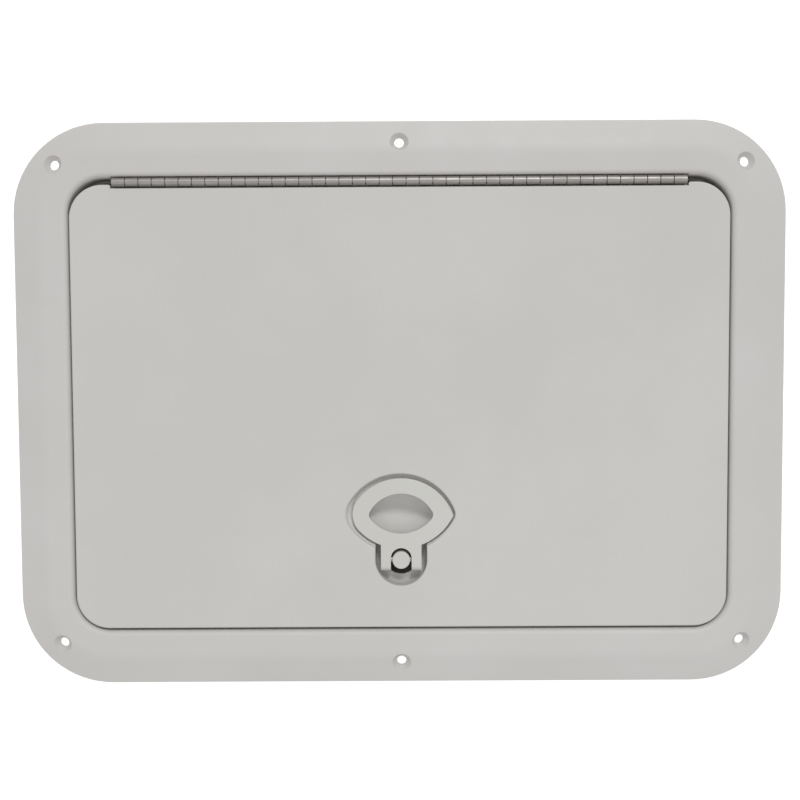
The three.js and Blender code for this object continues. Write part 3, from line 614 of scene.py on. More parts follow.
def frame_profile():
    """The frame's section as (distance outside the wall, z), all the way round."""
    bend_steps, slope_points = 12, 5
    bend = CROWN_END - SLOPE_START
    slope = [SLOPE_START + slope_points - i for i in range(slope_points)]
    slope += [SLOPE_START + bend * i / bend_steps for i in range(bend_steps + 1)]
    rim = FLANGE_WIDTH - RIM_WIDTH
    outside = [
        (0, 0, 0.7), (WALL, 0, 0.9), (WALL, TOP_Z - WALL, 1.6), (CROWN_END, TOP_Z - WALL, 2.5),
        (SLOPE_START, flange_height(SLOPE_START) - WALL, 2.5),
        (rim - 0.5, flange_height(rim) - WALL, 0.6), (rim, DECK_Z, 0.5),
        (FLANGE_WIDTH, DECK_Z, 0.5), (FLANGE_WIDTH, flange_height(FLANGE_WIDTH), 1.2),
        (slope[0] + 1, flange_height(slope[0] + 1), 0),
    ]
    fillet = arc(CROWN_ROUND, TOP_Z - CROWN_ROUND, CROWN_ROUND, 90, 180, 8)
    rim_face, rim_top = LEDGE_RIM_WIDTH - LEDGE_WIDTH, LEDGE_TOP + LEDGE_RIM_HEIGHT
    inside = [
        (0, TOP_Z - CROWN_ROUND - 1, 0), (0, LEDGE_TOP, 0.8), (rim_face, LEDGE_TOP, 0.5),
        (rim_face, rim_top, 0.4), (-LEDGE_WIDTH, rim_top, 0.4), (-LEDGE_WIDTH, LEDGE_BOTTOM, 0.6),
        (0, LEDGE_BOTTOM, 1.0), (0, 1, 0),
    ]
    top = [(offset, flange_height(offset)) for offset in slope] + fillet
    return rounded(outside, 4)[:-1] + top + rounded(inside, 4)[1:-1]


def fixing_holes():
    """One hole on each corner's diagonal, and one at the middle of each long side."""
    diagonal = (WALL_CORNER + HOLE_OFFSET) * math.sqrt(0.5)
    x, y = WALL_X - WALL_CORNER + diagonal, WALL_Y - WALL_CORNER + diagonal
    corners = [(sx * x, sy * y) for sx in (-1, 1) for sy in (-1, 1)]
    return corners + [(0, WALL_Y + HOLE_OFFSET), (0, -WALL_Y - HOLE_OFFSET)]


def rivet_places(shift):
    first = (RIVETS_PER_LEAF - 1) / 2
    return [(i - first) * RIVET_PITCH + shift for i in range(RIVETS_PER_LEAF)]


def rivet_drill(x, y0, y1):
    radius = RIVET_RADIUS + CLOSE_GAP
    drill = revolve([(0, y0), (radius, y0), (radius, y1), (0, y1)], sides=20)
    return turned_to_y(drill, x, HINGE_Z - RIVET_DROP)


def countersink(x, y):
    """A cone leaning half as much as the sloping flange, its foot on the hole's axis."""
    height = COUNTERSINK_DEPTH + 2 * PAST
    flare = (COUNTERSINK_RADIUS - HOLE_RADIUS) / COUNTERSINK_DEPTH
    side = [(0, 0), (HOLE_RADIUS, 0), (HOLE_RADIUS + flare * height, height), (0, height)]
    verts, faces = revolve(side, sides=40)
    heading = math.atan2((y > 0) - (y < 0), (x > 0) - (x < 0))
    half_slope = math.atan(STEEPNESS) / 2
    lean = Matrix.Rotation(heading, 4, "Z") @ Matrix.Rotation(half_slope, 4, "Y")
    foot = Vector((x, y, flange_height(HOLE_OFFSET) - COUNTERSINK_DEPTH))
    return [tuple(lean @ Vector(v) + foot) for v in verts], faces


def build_frame():
    made = new_object("hatch_frame", *sweep(frame_profile(), wall_loop))
    holes = fixing_holes()
    seat = flange_height(HOLE_OFFSET)
    boss_top = seat - 1.85
    boss = [
        (0, DECK_Z), (5.2, DECK_Z), (5.6, DECK_Z + 0.4), (5.7, DECK_Z + 1.2),
        (BOSS_RADIUS, boss_top), (0, boss_top),
    ]
    mouth, bore_top = HOLE_RADIUS + 0.3, seat - COUNTERSINK_DEPTH + 0.8
    bore = [
        (0, DECK_Z - PAST), (mouth, DECK_Z - PAST), (mouth, DECK_Z), (HOLE_RADIUS, DECK_Z + 0.3),
        (HOLE_RADIUS, bore_top), (0, bore_top),
    ]
    boolean(made, merged([revolve(boss, hole, 40) for hole in holes]), "UNION")
    rivets = [rivet_drill(x, WALL_Y - PAST, WALL_Y + WALL + PAST) for x in rivet_places(0)]
    boolean(made, merged([revolve(bore, hole, 40) for hole in holes] + rivets))
    boolean(made, merged([countersink(*hole) for hole in holes]))
    rebate_low = (-NOTCH_HALF, WALL_Y - PAST, REBATE_BOTTOM)
    boolean(made, box(rebate_low, (NOTCH_HALF, WALL_Y + REBATE, TOP_Z + PAST)))

    def on_a_rim(point):
        """On the upper rim of a hole, or on the rebate's upper edge."""
        if point.z < DECK_Z + 3:
            return False
        rebate = abs(point.y - WALL_Y - REBATE) < 0.01 and point.z > TOP_Z - 2
        return rebate or any(math.hypot(point.x - x, point.y - y) < BOSS_RADIUS for x, y in holes)

    soften(made, 0.35, 20, 2, on_a_rim)
    finish_piece(made, "frame", FRAME_PLASTIC, ["frame"], angle=32)


def build_seal():
    """A D-section strip with a flat foot, a small lip on each side and a soft crown."""
    inner, outer = SEAL_INNER, SEAL_OUTER
    base, middle, crown_radius = LEDGE_TOP + CLOSE_GAP, LEDGE_TOP + 1.75, 2.2
    foot = [(0.2, 0), (0, 0.15), (0, 0.75), (0.25, 0.95)]  # inward and up from a bottom corner
    crown = arc((inner + outer) / 2, middle, crown_radius, 0, 180, 14)
    right = [(outer - x, base + z) for x, z in foot]
    left = [(inner + x, base + z) for x, z in foot]
    profile = left[:1] + right + crown + left[:0:-1]
    made = new_object("lid_seal_strip", *sweep(profile, wall_loop))
    finish_piece(made, "frame", RUBBER, ["lid_seal"], angle=50)


# ---------- lid ----------

RIM = 0.8  # the rounding of the recess's and the well's mouths
RELIEF, RELIEF_DEPTH = (-0.3, -1.3), 2.3
BOWL_CENTRE = (0.0, SPINDLE_Y + 25.4)
BOWL_HALF = (18.0, 12.0, 9.0)
POCKET_TOP = TOP_Z - 1.0  # within the lid's skin
RIB_HEIGHT = 5.0
LONG_RIBS, CROSS_RIBS = (64, 16), (-96, -32, 32, 96)


def bowl(offset, top):
    """The lower half of an ellipsoid under the handle's opening, carried up to a height."""
    sides = 64
    a, b, c = (half + offset for half in BOWL_HALF)
    turns = [2 * math.pi * k / sides for k in range(sides)]
    rings = []
    for t in quarter(16, 1):
        ring = []
        for p in turns:
            x = BOWL_CENTRE[0] + a * math.sin(t) * math.cos(p)
            ring.append((x, BOWL_CENTRE[1] + b * math.sin(t) * math.sin(p)))
        rings.append((ring, RECESS_FLOOR - c * math.cos(t)))
    return loft(rings + [(rings[-1][0], top)])


def rim_levels(loop_at, radius):
    """The rounded-over mouth of a hole: levels from below the rim up to just above the surface."""
    levels = [(loop_at(inset), TOP_Z - drop) for inset, drop in quarter_round(radius, 5)]
    return levels + [(loop_at(radius), TOP_Z + 0.5)]


def recess_cutter():
    """Steep walls with a small foot, except on the left, where the wall is a ramp."""
    draft, foot = 0.8, 0.5
    wall = TOP_Z - RIM - RECESS_FLOOR - foot
    # Each level is how far the wall stands out, its height, and the share of the wall below it.
    levels = []
    for a in quarter(3):
        levels.append((-draft - foot * (1 - math.sin(a)), foot * (1 - math.cos(a)), 0.0))
    levels += [(-draft * (1 - share), foot + wall * share, share) for share in (0.25, 0.5, 0.75)]
    shaped = []
    for offset, rise, share in levels:
        tip = RAMP_FOOT_TIP + (RECESS_LEFT_TIP - RAMP_FOOT_TIP) * share
        shift = RAMP_FOOT_SHIFT * (1 - share)
        loop = recess_lens(HANDLE_CLEARANCE + offset, shift, 0, tip)
        shaped.append((loop, RECESS_FLOOR + rise))
    return loft(shaped + rim_levels(lambda o: recess_lens(HANDLE_CLEARANCE + o), RIM))


def relief_cutter():
    """The softer slope on the left and in front, rounded over widely from its foot to the rim."""
    soft = 1.7
    middle = HANDLE_CLEARANCE + RIM - soft
    half_way = recess_lens(middle - 0.25, RELIEF[0] / 2, RELIEF[1] / 2)
    levels = [(recess_lens(middle - 0.5), TOP_Z - RELIEF_DEPTH), (half_way, TOP_Z - 2.0)]
    return loft(levels + rim_levels(lambda o: recess_lens(middle + o, *RELIEF), soft))


def well_cutter():
    """The fork's well: a small fillet along its sides that widens into a scoop at the front."""
    outline = well_loop(0)
    levels = []
    for a in quarter(8):
        ring = []
        for x, y in outline:
            ahead = max(0.0, (SPINDLE_Y - y) / WELL_RADIUS) ** 2
            out = Vector((x, min(0.0, y - SPINDLE_Y)))
            out = out.normalized() if y - SPINDLE_Y < WELL_END - 0.01 else Vector((0, 1))
            inset = (2.4 + 1.6 * ahead) * (1 - math.sin(a))
            rise = (2.6 + 1.9 * ahead) * (1 - math.cos(a))
            ring.append((x - out.x * inset, y - out.y * inset, WELL_FLOOR + rise))
        levels.append(ring)
    levels += [[(x, y, z) for x, y in loop] for loop, z in rim_levels(well_loop, RIM)]
    return loft_points(levels)


def pocket_shells():
    """The outsides of recess, well and bowl, before they are hollowed."""
    plate = [(1.4, -2.5), (2.0, -2.2), (2.2, -1.6)]  # beyond the recess, above its floor
    well = [(1.5, 0.0), (2.2, 0.3), (2.5, 1.0)]  # beyond the well, above the seat
    around = [(recess_lens(HANDLE_CLEARANCE + out), RECESS_FLOOR + up) for out, up in plate]
    below = [(well_loop(out), SEAT_BOTTOM + up) for out, up in well]
    return (
        loft(around + [(around[-1][0], POCKET_TOP)]),
        loft(below + [(below[-1][0], POCKET_TOP)]),
        bowl(2.2, POCKET_TOP),
    )


def rib(x0, y0, x1, y1):
    """A drafted rib: thicker at the lid's skin than at its free edge."""
    foot, edge = 1.15, 0.8  # half widths
    bottom, top = LID_UNDERSIDE - RIB_HEIGHT, LID_UNDERSIDE + 0.5
    along_x = abs(x1 - x0) > abs(y1 - y0)

    def loop(half):
        dx, dy = (0, half) if along_x else (half, 0)
        return [(x0 - dx, y0 - dy), (x1 + dx, y0 - dy), (x1 + dx, y1 + dy), (x0 - dx, y1 + dy)]

    free = [(loop(edge - 0.25), bottom), (loop(edge), bottom + 0.3)]
    return loft(free + [(loop(foot), LID_UNDERSIDE), (loop(foot), top)])


def notch_outline(y):
    """The hinge's notch, flaring out round the two corners it makes with the lid's rear edge."""
    flare, top = 1.0, LID_REAR_OUTER
    right = arc(NOTCH_HALF + flare, top - flare, flare, 180, 90, 6)
    points = [(NOTCH_HALF, y)] + right + [(NOTCH_HALF + flare + 0.4, top + 3)]
    return [(-px, py) for px, py in points][::-1] + points


def hinge_rebate():
    """The notch's upper part, cut back beside the knuckles, with a rounded upper edge."""
    edge = LID_REAR_Y - REBATE
    levels = [(notch_outline(edge), REBATE_BOTTOM - 0.001)]
    levels += [(notch_outline(edge - out), TOP_Z - drop) for out, drop in quarter_round(0.7, 5)]
    return loft(levels + [(notch_outline(edge - 0.7), TOP_Z + PAST)])


def lid_hollow():
    left, right = -LID_X + WALL, LID_X - WALL
    front, rear, corner = -LID_Y + WALL, LID_REAR_Y - WALL, 13.0
    places = [(left, front), (right, front), (right, rear), (left, rear)]
    inner = rounded([(x, y, corner) for x, y in places], 10)
    return prism(inner, LID_BOTTOM - PAST, LID_UNDERSIDE)


def spindle_bore():
    """The spindle's bore, chamfered below, with the gasket's seat above."""
    top = WELL_FLOOR + PAST
    side = [
        (0, SEAT_BOTTOM - PAST), (5.1, SEAT_BOTTOM - PAST), (5.1, SEAT_BOTTOM),
        (BORE_RADIUS, SEAT_BOTTOM + 0.5), (BORE_RADIUS, GASKET_FLOOR), (8.6, GASKET_FLOOR),
        (8.6, WELL_FLOOR - 0.2), (8.8, WELL_FLOOR), (8.8, top), (0, top),
    ]
    return about_spindle(side, 48)


def build_lid():
    bottom = [(-0.5, 0.0), (-0.15, 0.15), (0, 0.5)]
    skin = [(lid_loop(out), LID_BOTTOM + up) for out, up in bottom]
    skin += [(lid_loop(-out), TOP_Z - drop) for out, drop in quarter_round(LID_EDGE_ROUND, 5)]
    made = new_object("hatch_lid", *loft(skin))
    boolean(made, prism(notch_outline(LID_REAR_Y), LID_BOTTOM - PAST, REBATE_BOTTOM))
    boolean(made, hinge_rebate())
    boolean(made, lid_hollow())
    inside = 2.5  # ribs reach this near to the skirt's outer face
    side, front, rear = LID_X - inside, -LID_Y + inside, LID_REAR_Y - inside
    ribs = [rib(-side, y, side, y) for y in LONG_RIBS]
    ribs += [rib(x, front, x, rear) for x in CROSS_RIBS]
    for body in ribs + list(pocket_shells()):
        boolean(made, body, "UNION")
    for body in (recess_cutter(), relief_cutter(), well_cutter(), bowl(0, RECESS_FLOOR + PAST)):
        boolean(made, body)
    boolean(made, spindle_bore())
    near, far = LID_REAR_Y - WALL - PAST, LID_REAR_Y + PAST
    boolean(made, merged([rivet_drill(x, near, far) for x in rivet_places(LID_RIVET_SHIFT)]))
    finish_piece(made, "lid", LID_PLASTIC, ["lid"], angle=38)


# ---------- hinge ----------


def roll_profile(side):
    """Cross-section of one knuckle from the leaf's plate up and round, as (y, z) from the axis."""
    rolled_to = 318
    outer = arc(0, 0, KNUCKLE_RADIUS, 0, rolled_to, 30)
    inner = arc(0, 0, KNUCKLE_RADIUS - LEAF, rolled_to, 0, 26)
    return [(y * side, z) for y, z in outer + inner]


def knuckle_stations(first):
    """Where along X the leaf changes: (x, whether a knuckle of this leaf starts there)."""
    stations = []
    for i in range(KNUCKLE_COUNT):
        x0 = -HINGE_HALF + i * KNUCKLE_PITCH
        mine = i % 2 == first
        gap = KNUCKLE_GAP / 2 if mine else -KNUCKLE_GAP / 2
        stations.append((x0 if i == 0 else x0 + gap, mine))
    return stations + [(HINGE_HALF, None)]


def build_leaf(name, side, first, node):
    """A plate whose upper edge is rolled into knuckles, with clear slots between them."""
    top, bottom = -KNUCKLE_RADIUS - 0.4, -LEAF_DEPTH
    y_out, y_in = KNUCKLE_RADIUS * side, (KNUCKLE_RADIUS - LEAF) * side
    verts, faces, index = [], [], {}

    def vertex(x, y, z):
        key = round(x, 4), round(y, 4), round(z, 4)
        if key not in index:
            index[key] = len(verts)
            verts.append((x, HINGE_Y + y, HINGE_Z + z))
        return index[key]

    def strip(x0, x1, line):
        for a, b in zip(line, line[1:]):
            faces.append((vertex(x0, *a), vertex(x1, *a), vertex(x1, *b), vertex(x0, *b)))

    roll = [(y_out, top)] + roll_profile(side) + [(y_in, top)]
    plate = [(y_in, top), (y_in, bottom), (y_out, bottom), (y_out, top)]
    stations = knuckle_stations(first)
    for (x0, mine), (x1, _) in zip(stations, stations[1:]):
        strip(x0, x1, plate)
        if mine:
            strip(x0, x1, roll)
            for x in (x0, x1):
                faces.append(tuple(vertex(x, y, z) for y, z in roll))
        else:
            strip(x0, x1, [(y_out, top), (y_in, top)])
    for x in (-HINGE_HALF, HINGE_HALF):
        faces.append(tuple(vertex(x, y, z) for y, z in plate))
    made = new_object(name, verts, faces)
    body, shift, near, far = "frame", 0, 0.5, 4.0
    if side < 0:
        body, shift, near, far = "lid", LID_RIVET_SHIFT, -4.0, -0.5
    drills = [rivet_drill(x, HINGE_Y + near, HINGE_Y + far) for x in rivet_places(shift)]
    boolean(made, merged(drills))
    finish_piece(made, body, STEEL, [node], bevel=0.14, angle=50)


def build_pin():
    half = HINGE_HALF
    end = [(0.75, 0.0), (1.0, 0.12), (PIN_RADIUS, 0.35)]  # radius, and distance from the end
    low = [(radius, -half + back) for radius, back in end]
    high = [(radius, half - back) for radius, back in end[::-1]]
    turned = revolve([(0, -half)] + low + high + [(0, half)], sides=24)
    made = new_object("hinge_pin_rod", *turned_to_x(turned, HINGE_Y, HINGE_Z))
    finish_piece(made, "frame", STEEL, ["hinge_pin"], angle=50)


def build_rivet(name, node, side, x):
    """A domed head on the leaf, a shank through leaf and wall, and an upset tail behind."""
    face = KNUCKLE_RADIUS - LEAF - CLOSE_GAP
    tail = KNUCKLE_RADIUS + CLOSE_GAP + WALL + CLOSE_GAP
    head = RIVET_HEAD_RADIUS
    dome = [(head * math.sin(a), face - 0.25 - 0.65 * math.cos(a)) for a in quarter(6)]
    shank = [(head, face - 0.05), (head - 0.1, face), (RIVET_RADIUS, face), (RIVET_RADIUS, tail)]
    upset = [(1.75, 0.0), (1.8, 0.15), (1.75, 0.7), (1.35, 1.0), (0.5, 1.1), (0.35, 0.6), (0, 0.5)]
    profile = dome + shank + [(radius, tail + out) for radius, out in upset]
    verts, faces = turned_to_y(revolve(profile, sides=28), x, HINGE_Z - RIVET_DROP, side)
    made = new_object(name, [(px, py + HINGE_Y, pz) for px, py, pz in verts], faces)
    body = "frame" if side > 0 else "lid"
    finish_piece(made, body, STEEL_PRESSED, [node], angle=40)


# ---------- latch ----------


def fork_side():
    """Side view of the fork, (y, z) from the pivot: a round heel ahead, a ramp up to the plate."""
    top, under, rear = PIVOT_DROP, PIVOT_DROP - HANDLE_THICKNESS, 10.6
    heel_round = 2.6
    heel = arc(heel_round - HEEL_REACH, top - heel_round, heel_round, 90, 180, 10)
    belly = [(-HEEL_REACH, -1.4), (-5.2, -2.4), (-4.3, -FORK_DEPTH), (4.5, -FORK_DEPTH)]
    ramp = [(5.6, -2.6), (8, under - 0.4), (9, under), (rear, under), (rear, top)]
    return heel + belly + ramp


def pivot_drill(half):
    drill = bar(PIVOT_PIN_RADIUS + CLOSE_GAP, half, 28)
    return turned_to_x(drill, SPINDLE_Y, PIVOT_Z)


def build_handle():
    under, edge, lower_edge = TOP_Z - HANDLE_THICKNESS, 0.55, (1.5, 1.9)
    foot = []
    for a in quarter(7):
        inset, rise = lower_edge[0] * (1 - math.sin(a)), lower_edge[1] * (1 - math.cos(a))
        foot.append((handle_lens(-inset), under + rise))
    crown = [(handle_lens(-inset), TOP_Z - drop) for inset, drop in quarter_round(edge, 4)]
    made = new_object("ring_handle", *loft(foot + crown))
    side = [(SPINDLE_Y + y, PIVOT_Z + z) for y, z in fork_side()]
    boolean(made, slab(side, -FORK_HALF_WIDTH, FORK_HALF_WIDTH), "UNION")
    notch_half, notch_end = 5.2, -7
    notch = arc(0, 0.9, notch_half, 0, 180, 28)
    notch += [(-notch_half, notch_end), (notch_half, notch_end)]
    opening = lens(OPENING_UPPER, OPENING_LOWER, OPENING_TIP, OPENING_TIP, 0)
    for loop in (notch, opening):
        boolean(made, prism(at_spindle(loop), TOP_Z - 8, TOP_Z + PAST))
    boolean(made, pivot_drill(12))
    soften(made, 0.42, 40, 3)
    finish_piece(made, "handle", HANDLE_PLASTIC, ["latch_handle"], angle=35)


def build_pivot_pin():
    half, radius, chamfer = 9.8, PIVOT_PIN_RADIUS, 0.4
    side = [(0, -half), (radius - chamfer, -half), (radius, -half + chamfer)]
    turned = revolve(side + [(r, -z) for r, z in side[::-1]], sides=28)
    made = new_object("handle_pivot", *turned_to_x(turned, SPINDLE_Y, PIVOT_Z))
    finish_piece(made, "latch", STEEL_TURNED, ["latch_pivot_pin"], angle=35)


def threaded(z0, z1, major, pitch, depth):
    """Rings of a screw thread: a true helix, faded out at both ends."""
    sides, rings_per_turn, fade_length = 36, 8, 0.5
    rings = max(8, int((z1 - z0) / pitch * rings_per_turn))
    levels = []
    for i in range(rings + 1):
        z = z0 + (z1 - z0) * i / rings
        fade = min(1.0, (z - z0) / fade_length, (z1 - z) / fade_length)
        ring = []
        for k in range(sides):
            turn = k / sides
            phase = ((z - z0) / pitch - turn) % 1.0
            wave = 0.5 + 0.5 * math.cos(2 * math.pi * phase)
            radius = major - (depth * wave * fade + 0.35 * (1 - fade))
            a = 2 * math.pi * turn
            ring.append((radius * math.cos(a), SPINDLE_Y + radius * math.sin(a), z))
        levels.append(ring)
    return levels


def square_loop(half):
    """The square of the spindle's neck and the pawl's hole, its corners slightly rounded."""
    corners = [(half, half, 0.5), (-half, half, 0.5), (-half, -half, 0.5), (half, -half, 0.5)]
    return at_spindle(rounded(corners, 3))


def build_spindle():
    shoulder = PAWL_TOP + FIT_GAP
    side = [(0, shoulder), (4.1, shoulder), (SPINDLE_RADIUS, shoulder + 0.3)]
    side += [(SPINDLE_RADIUS - inset, TOP_Z - drop) for inset, drop in quarter_round(0.5, 5)]
    side += [(3.4, TOP_Z - 0.02), (3.0, TOP_Z - 0.1), (0, TOP_Z - 0.12)]
    made = new_object("latch_spindle_post", *about_spindle(side, 56))
    boolean(made, prism(square_loop(3.1), PAWL_BOTTOM, shoulder + 1), "UNION")
    thread = threaded(SPINDLE_END, PAWL_BOTTOM + 0.5, STUD_RADIUS, pitch=1.0, depth=0.45)
    boolean(made, loft_points(thread), "UNION")
    boolean(made, pivot_drill(8))
    finish_piece(made, "latch", HANDLE_PLASTIC, ["latch_spindle"], angle=35)


def build_gasket():
    """A soft flat ring in its seat, its top edge rounded over and its face slightly dished."""
    low, high = GASKET_FLOOR + CLOSE_GAP, GASKET_FLOOR + 1.2
    inner, outer = BORE_RADIUS, GASKET_RADIUS
    dish = high - 0.12
    section = rounded([(inner, low, 0.1), (outer, low, 0.15), (outer, high - 0.05, 0.35)], 4)
    section += [(outer - 0.45, high), (outer - 1.2, dish), (inner + 1.2, dish)]
    section += [(inner + 0.35, high - 0.05), (inner, high - 0.35)]
    made = new_object("spindle_seal_gasket", *about_spindle(section, 72, closed=True))
    finish_piece(made, "lid", GASKET_RUBBER, ["spindle_gasket"], angle=60)


def ring_section(inner, outer, low, high, edge, steps):
    """A rectangle of (radius, z) points with rounded corners."""
    corners = [(inner, low, edge), (outer, low, edge), (outer, high, edge), (inner, high, edge)]
    return rounded(corners, steps)


def build_thrust_washer():
    section = ring_section(BORE_RADIUS, 9.0, THRUST_BOTTOM, THRUST_TOP, 0.25, 3)
    made = new_object("nylon_thrust_ring", *about_spindle(section, 56, closed=True))
    finish_piece(made, "lid", NYLON, ["thrust_washer"], angle=40)


def coiled(section, turns, heights):
    """Points of a (radius, z) section carried about the spindle, at an angle and height each."""
    verts = []
    for a, height in zip(turns, heights):
        for r, z in section:
            verts.append((r * math.cos(a), SPINDLE_Y + r * math.sin(a), height + z))
    return verts


def build_wave_washer():
    """A spring ring that rises and falls three times on its way round."""
    z0, z1, thick, waves, steps = PAWL_TOP + 0.5, THRUST_BOTTOM - FIT_GAP, 0.38, 3, 72
    swing = (z1 - z0 - 0.4) / 2
    section = ring_section(4.65, 7.95, -thick / 2, thick / 2, 0.1, 2)
    turns = [2 * math.pi * i / steps for i in range(steps)]
    heights = [(z0 + z1) / 2 + swing * math.sin(waves * a) for a in turns]
    faces = side_faces(len(section), steps, closed=True)
    made = new_object("wave_spring_ring", coiled(section, turns, heights), faces)
    finish_piece(made, "latch", STEEL_TURNED, ["wave_washer"], angle=40)


def build_pawl():
    """A pressed cam with a square hole, rolled edges and a lead-in slope at its tip."""
    reach, heel, tip, tip_round = 31.5, 8.0, 6.0, 3.0
    back = [(x, y, 0) for x, y in arc(0, 0, heel, 6, 174, 26)]
    corners = [(tip, -reach, tip_round), (heel, 0, 0)] + back
    corners += [(-heel, 0, 0), (-tip, -reach, tip_round)]
    outline = at_spindle(rounded(corners, 8))
    middle = Vector((0, SPINDLE_Y - 10))

    def inset(amount):
        moved = []
        for i, point in enumerate(outline):
            along = Vector(outline[(i + 1) % len(outline)]) - Vector(outline[i - 1])
            along.normalize()
            normal = Vector((along.y, -along.x))
            if normal.dot(Vector(point) - middle) > 0:
                normal = -normal
            moved.append((point[0] + normal.x * amount, point[1] + normal.y * amount))
        return moved

    edge, bite = 0.25, 0.07
    rolled = [(inset(edge), 0.0), (inset(bite), bite), (outline, edge)]
    levels = [(loop, PAWL_BOTTOM + up) for loop, up in rolled]
    levels += [(loop, PAWL_TOP - down) for loop, down in rolled[::-1]]
    made = new_object("latch_cam", *loft(levels))
    tip_y = SPINDLE_Y - reach
    above = PAWL_TOP + 1
    side = [(tip_y - 1, above), (tip_y - 1, PAWL_TOP - 1.33), (tip_y + 3, PAWL_TOP)]
    boolean(made, slab(side + [(tip_y + 3, above)], -10, 10))
    boolean(made, prism(square_loop(3.3), PAWL_BOTTOM - PAST, PAWL_TOP + PAST))
    finish_piece(made, "latch", STEEL_PRESSED, ["latch_pawl"], angle=30)


def build_lock_washer():
    """A split ring whose two ends stand a little apart in height."""
    steps, opening, spring = 60, math.radians(9), 0.2
    section = ring_section(3.25, 5.55, 0.12, 1.08, 0.08, 2)
    count = len(section)
    turns = [opening / 2 + (2 * math.pi - opening) * i / steps for i in range(steps + 1)]
    heights = [LOCK_BOTTOM + spring * (i / steps - 0.5) for i in range(steps + 1)]
    ends = [tuple(range(count)), tuple(range(steps * count, (steps + 1) * count))[::-1]]
    faces = side_faces(count, steps + 1) + ends
    made = new_object("split_lock_ring", coiled(section, turns, heights), faces)
    finish_piece(made, "latch", STEEL_TURNED, ["lock_washer"], angle=40)


def build_nut():
    """A hexagon chamfered top and bottom by a cone, with a countersunk hole."""
    corner, drop = 5.8, 0.55
    flat = corner * math.cos(math.pi / 6)
    turns = [math.radians(60 * k) for k in range(6)]
    hexagon = at_spindle([(corner * math.cos(a), corner * math.sin(a)) for a in turns])
    made = new_object("latch_hex_nut", *prism(hexagon, NUT_BOTTOM, NUT_TOP))
    cone = [
        (0, NUT_BOTTOM), (flat - 0.1, NUT_BOTTOM), (corner + 0.15, NUT_BOTTOM + drop),
        (corner + 0.15, NUT_TOP - drop), (flat - 0.1, NUT_TOP), (0, NUT_TOP),
    ]
    boolean(made, about_spindle(cone, 72), "INTERSECT")
    radius, mouth, sunk = STUD_RADIUS + CLOSE_GAP, 3.7, 0.6
    hole = [
        (0, NUT_BOTTOM - PAST), (mouth, NUT_BOTTOM - PAST), (mouth, NUT_BOTTOM),
        (radius, NUT_BOTTOM + sunk), (radius, NUT_TOP - sunk), (mouth, NUT_TOP),
        (mouth, NUT_TOP + PAST), (0, NUT_TOP + PAST),
    ]
    boolean(made, about_spindle(hole, 40))
    finish_piece(made, "latch", STEEL_TURNED, ["latch_nut"], angle=25)


# ---------- scene ----------

# Each light's name, place and size in metres, and power in watts. Both face the origin.
LIGHTS = (
    ("key", (0.8, 4.0, 4.8), (1.6, 1.3), 124.0),
    ("overhead", (0.0, -0.42, 1.0), (1.2, 0.95), 2.35),
)
WORLD_STRENGTH = 0.46
FLOOR_HALF, FLOOR_STEPS, FLOOR_GLOW = 12.0, 12, 0.5  # metres, cells to a side, emission

CAMERA_PLACE = (1.27, 44.47, DECK_Z + 653.0)  # millimetres
CAMERA_TURNS = (("Y", 0.00228), ("X", -0.06462), ("Z", -0.00529))  # radians
SENSOR_WIDTH, FOCAL_LENGTH = 36.0, 58.905


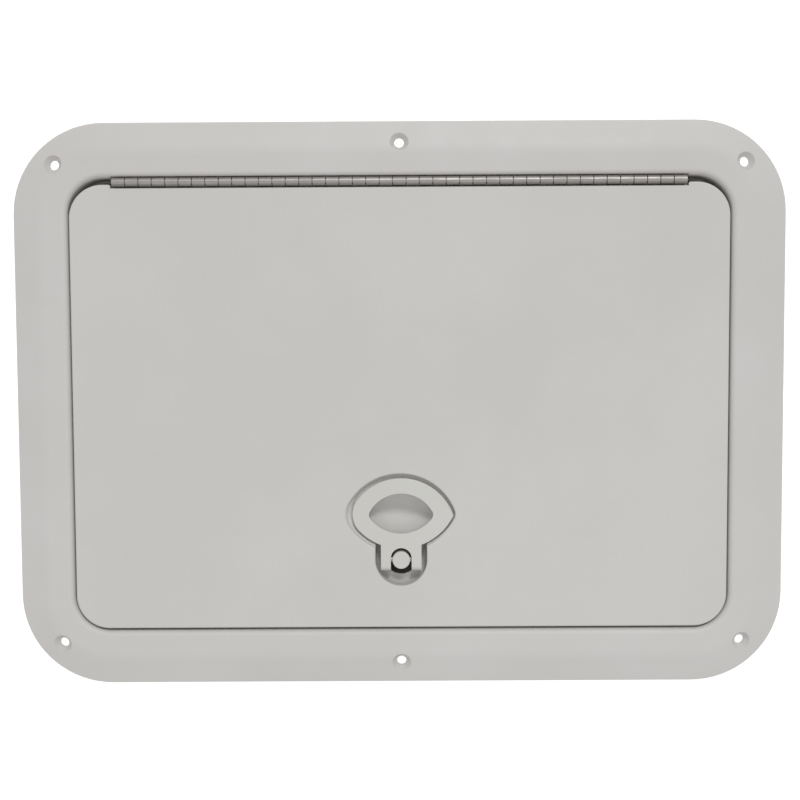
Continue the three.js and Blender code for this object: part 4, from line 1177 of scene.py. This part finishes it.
def build_stage():
    row = FLOOR_STEPS + 1
    marks = [-FLOOR_HALF + 2 * FLOOR_HALF * i / FLOOR_STEPS for i in range(row)]
    verts = [(x, y, 0) for y in marks for x in marks]
    faces = []
    for j in range(FLOOR_STEPS):
        for i in range(FLOOR_STEPS):
            near, far = j * row + i, (j + 1) * row + i
            faces.append((near, near + 1, far + 1, far))
    mesh = bpy.data.meshes.new("floor")
    mesh.from_pydata(verts, [], faces)
    n = Nodes("floor_paper")
    tone = n.mix(n.spread(n.noise(4, 3), (0, 1)), (0.9, 0.9, 0.9), (0.93, 0.93, 0.93))
    n.look(Base_Color=tone, Roughness=0.9, Emission_Color=(1, 1, 1, 1))
    n.look(Emission_Strength=FLOOR_GLOW)
    mesh.materials.append(n.material)
    in_scene("floor", mesh)


def build_lights():
    for name, place, size, power in LIGHTS:
        data = bpy.data.lights.new(name, "AREA")
        data.shape = "RECTANGLE"
        data.size, data.size_y = size
        data.energy = power
        lamp = in_scene(name, data)
        lamp.location = place
        lamp.rotation_euler = (Vector() - Vector(place)).to_track_quat("-Z", "Y").to_euler()
    world = bpy.data.worlds.new("studio")
    world.use_nodes = True
    background = world.node_tree.nodes["Background"]
    background.inputs["Color"].default_value = (1.0, 1.0, 1.0, 1)
    background.inputs["Strength"].default_value = WORLD_STRENGTH
    bpy.context.scene.world = world
    bpy.context.scene.view_settings.view_transform = "Standard"


def build_camera():
    """High above the deck, a little towards the hinge, and turned slightly back to the latch."""
    data = bpy.data.cameras.new("camera")
    data.sensor_width = SENSOR_WIDTH
    data.lens = FOCAL_LENGTH
    data.clip_start = 0.01
    camera = in_scene("camera", data)
    placed = Matrix.Translation(Vector(CAMERA_PLACE) * MM)
    for axis, turn in CAMERA_TURNS:
        placed = placed @ Matrix.Rotation(turn, 4, axis)
    camera.matrix_world = placed
    bpy.context.scene.camera = camera


build_stage()
build_lights()
build_camera()

build_frame()
build_seal()
build_lid()
build_leaf("hinge_leaf_outer", 1, 0, "hinge_leaf_frame")
build_leaf("hinge_leaf_inner", -1, 1, "hinge_leaf_lid")
build_pin()
for number, place in enumerate(rivet_places(0), 1):
    build_rivet(f"outer_rivet_{number}", f"frame_rivet_{number}", 1, place)
for number, place in enumerate(rivet_places(LID_RIVET_SHIFT), 1):
    build_rivet(f"inner_rivet_{number}", f"lid_rivet_{number}", -1, place)
build_handle()
build_pivot_pin()
build_spindle()
build_gasket()
build_thrust_washer()
build_wave_washer()
build_pawl()
build_lock_washer()
build_nut()
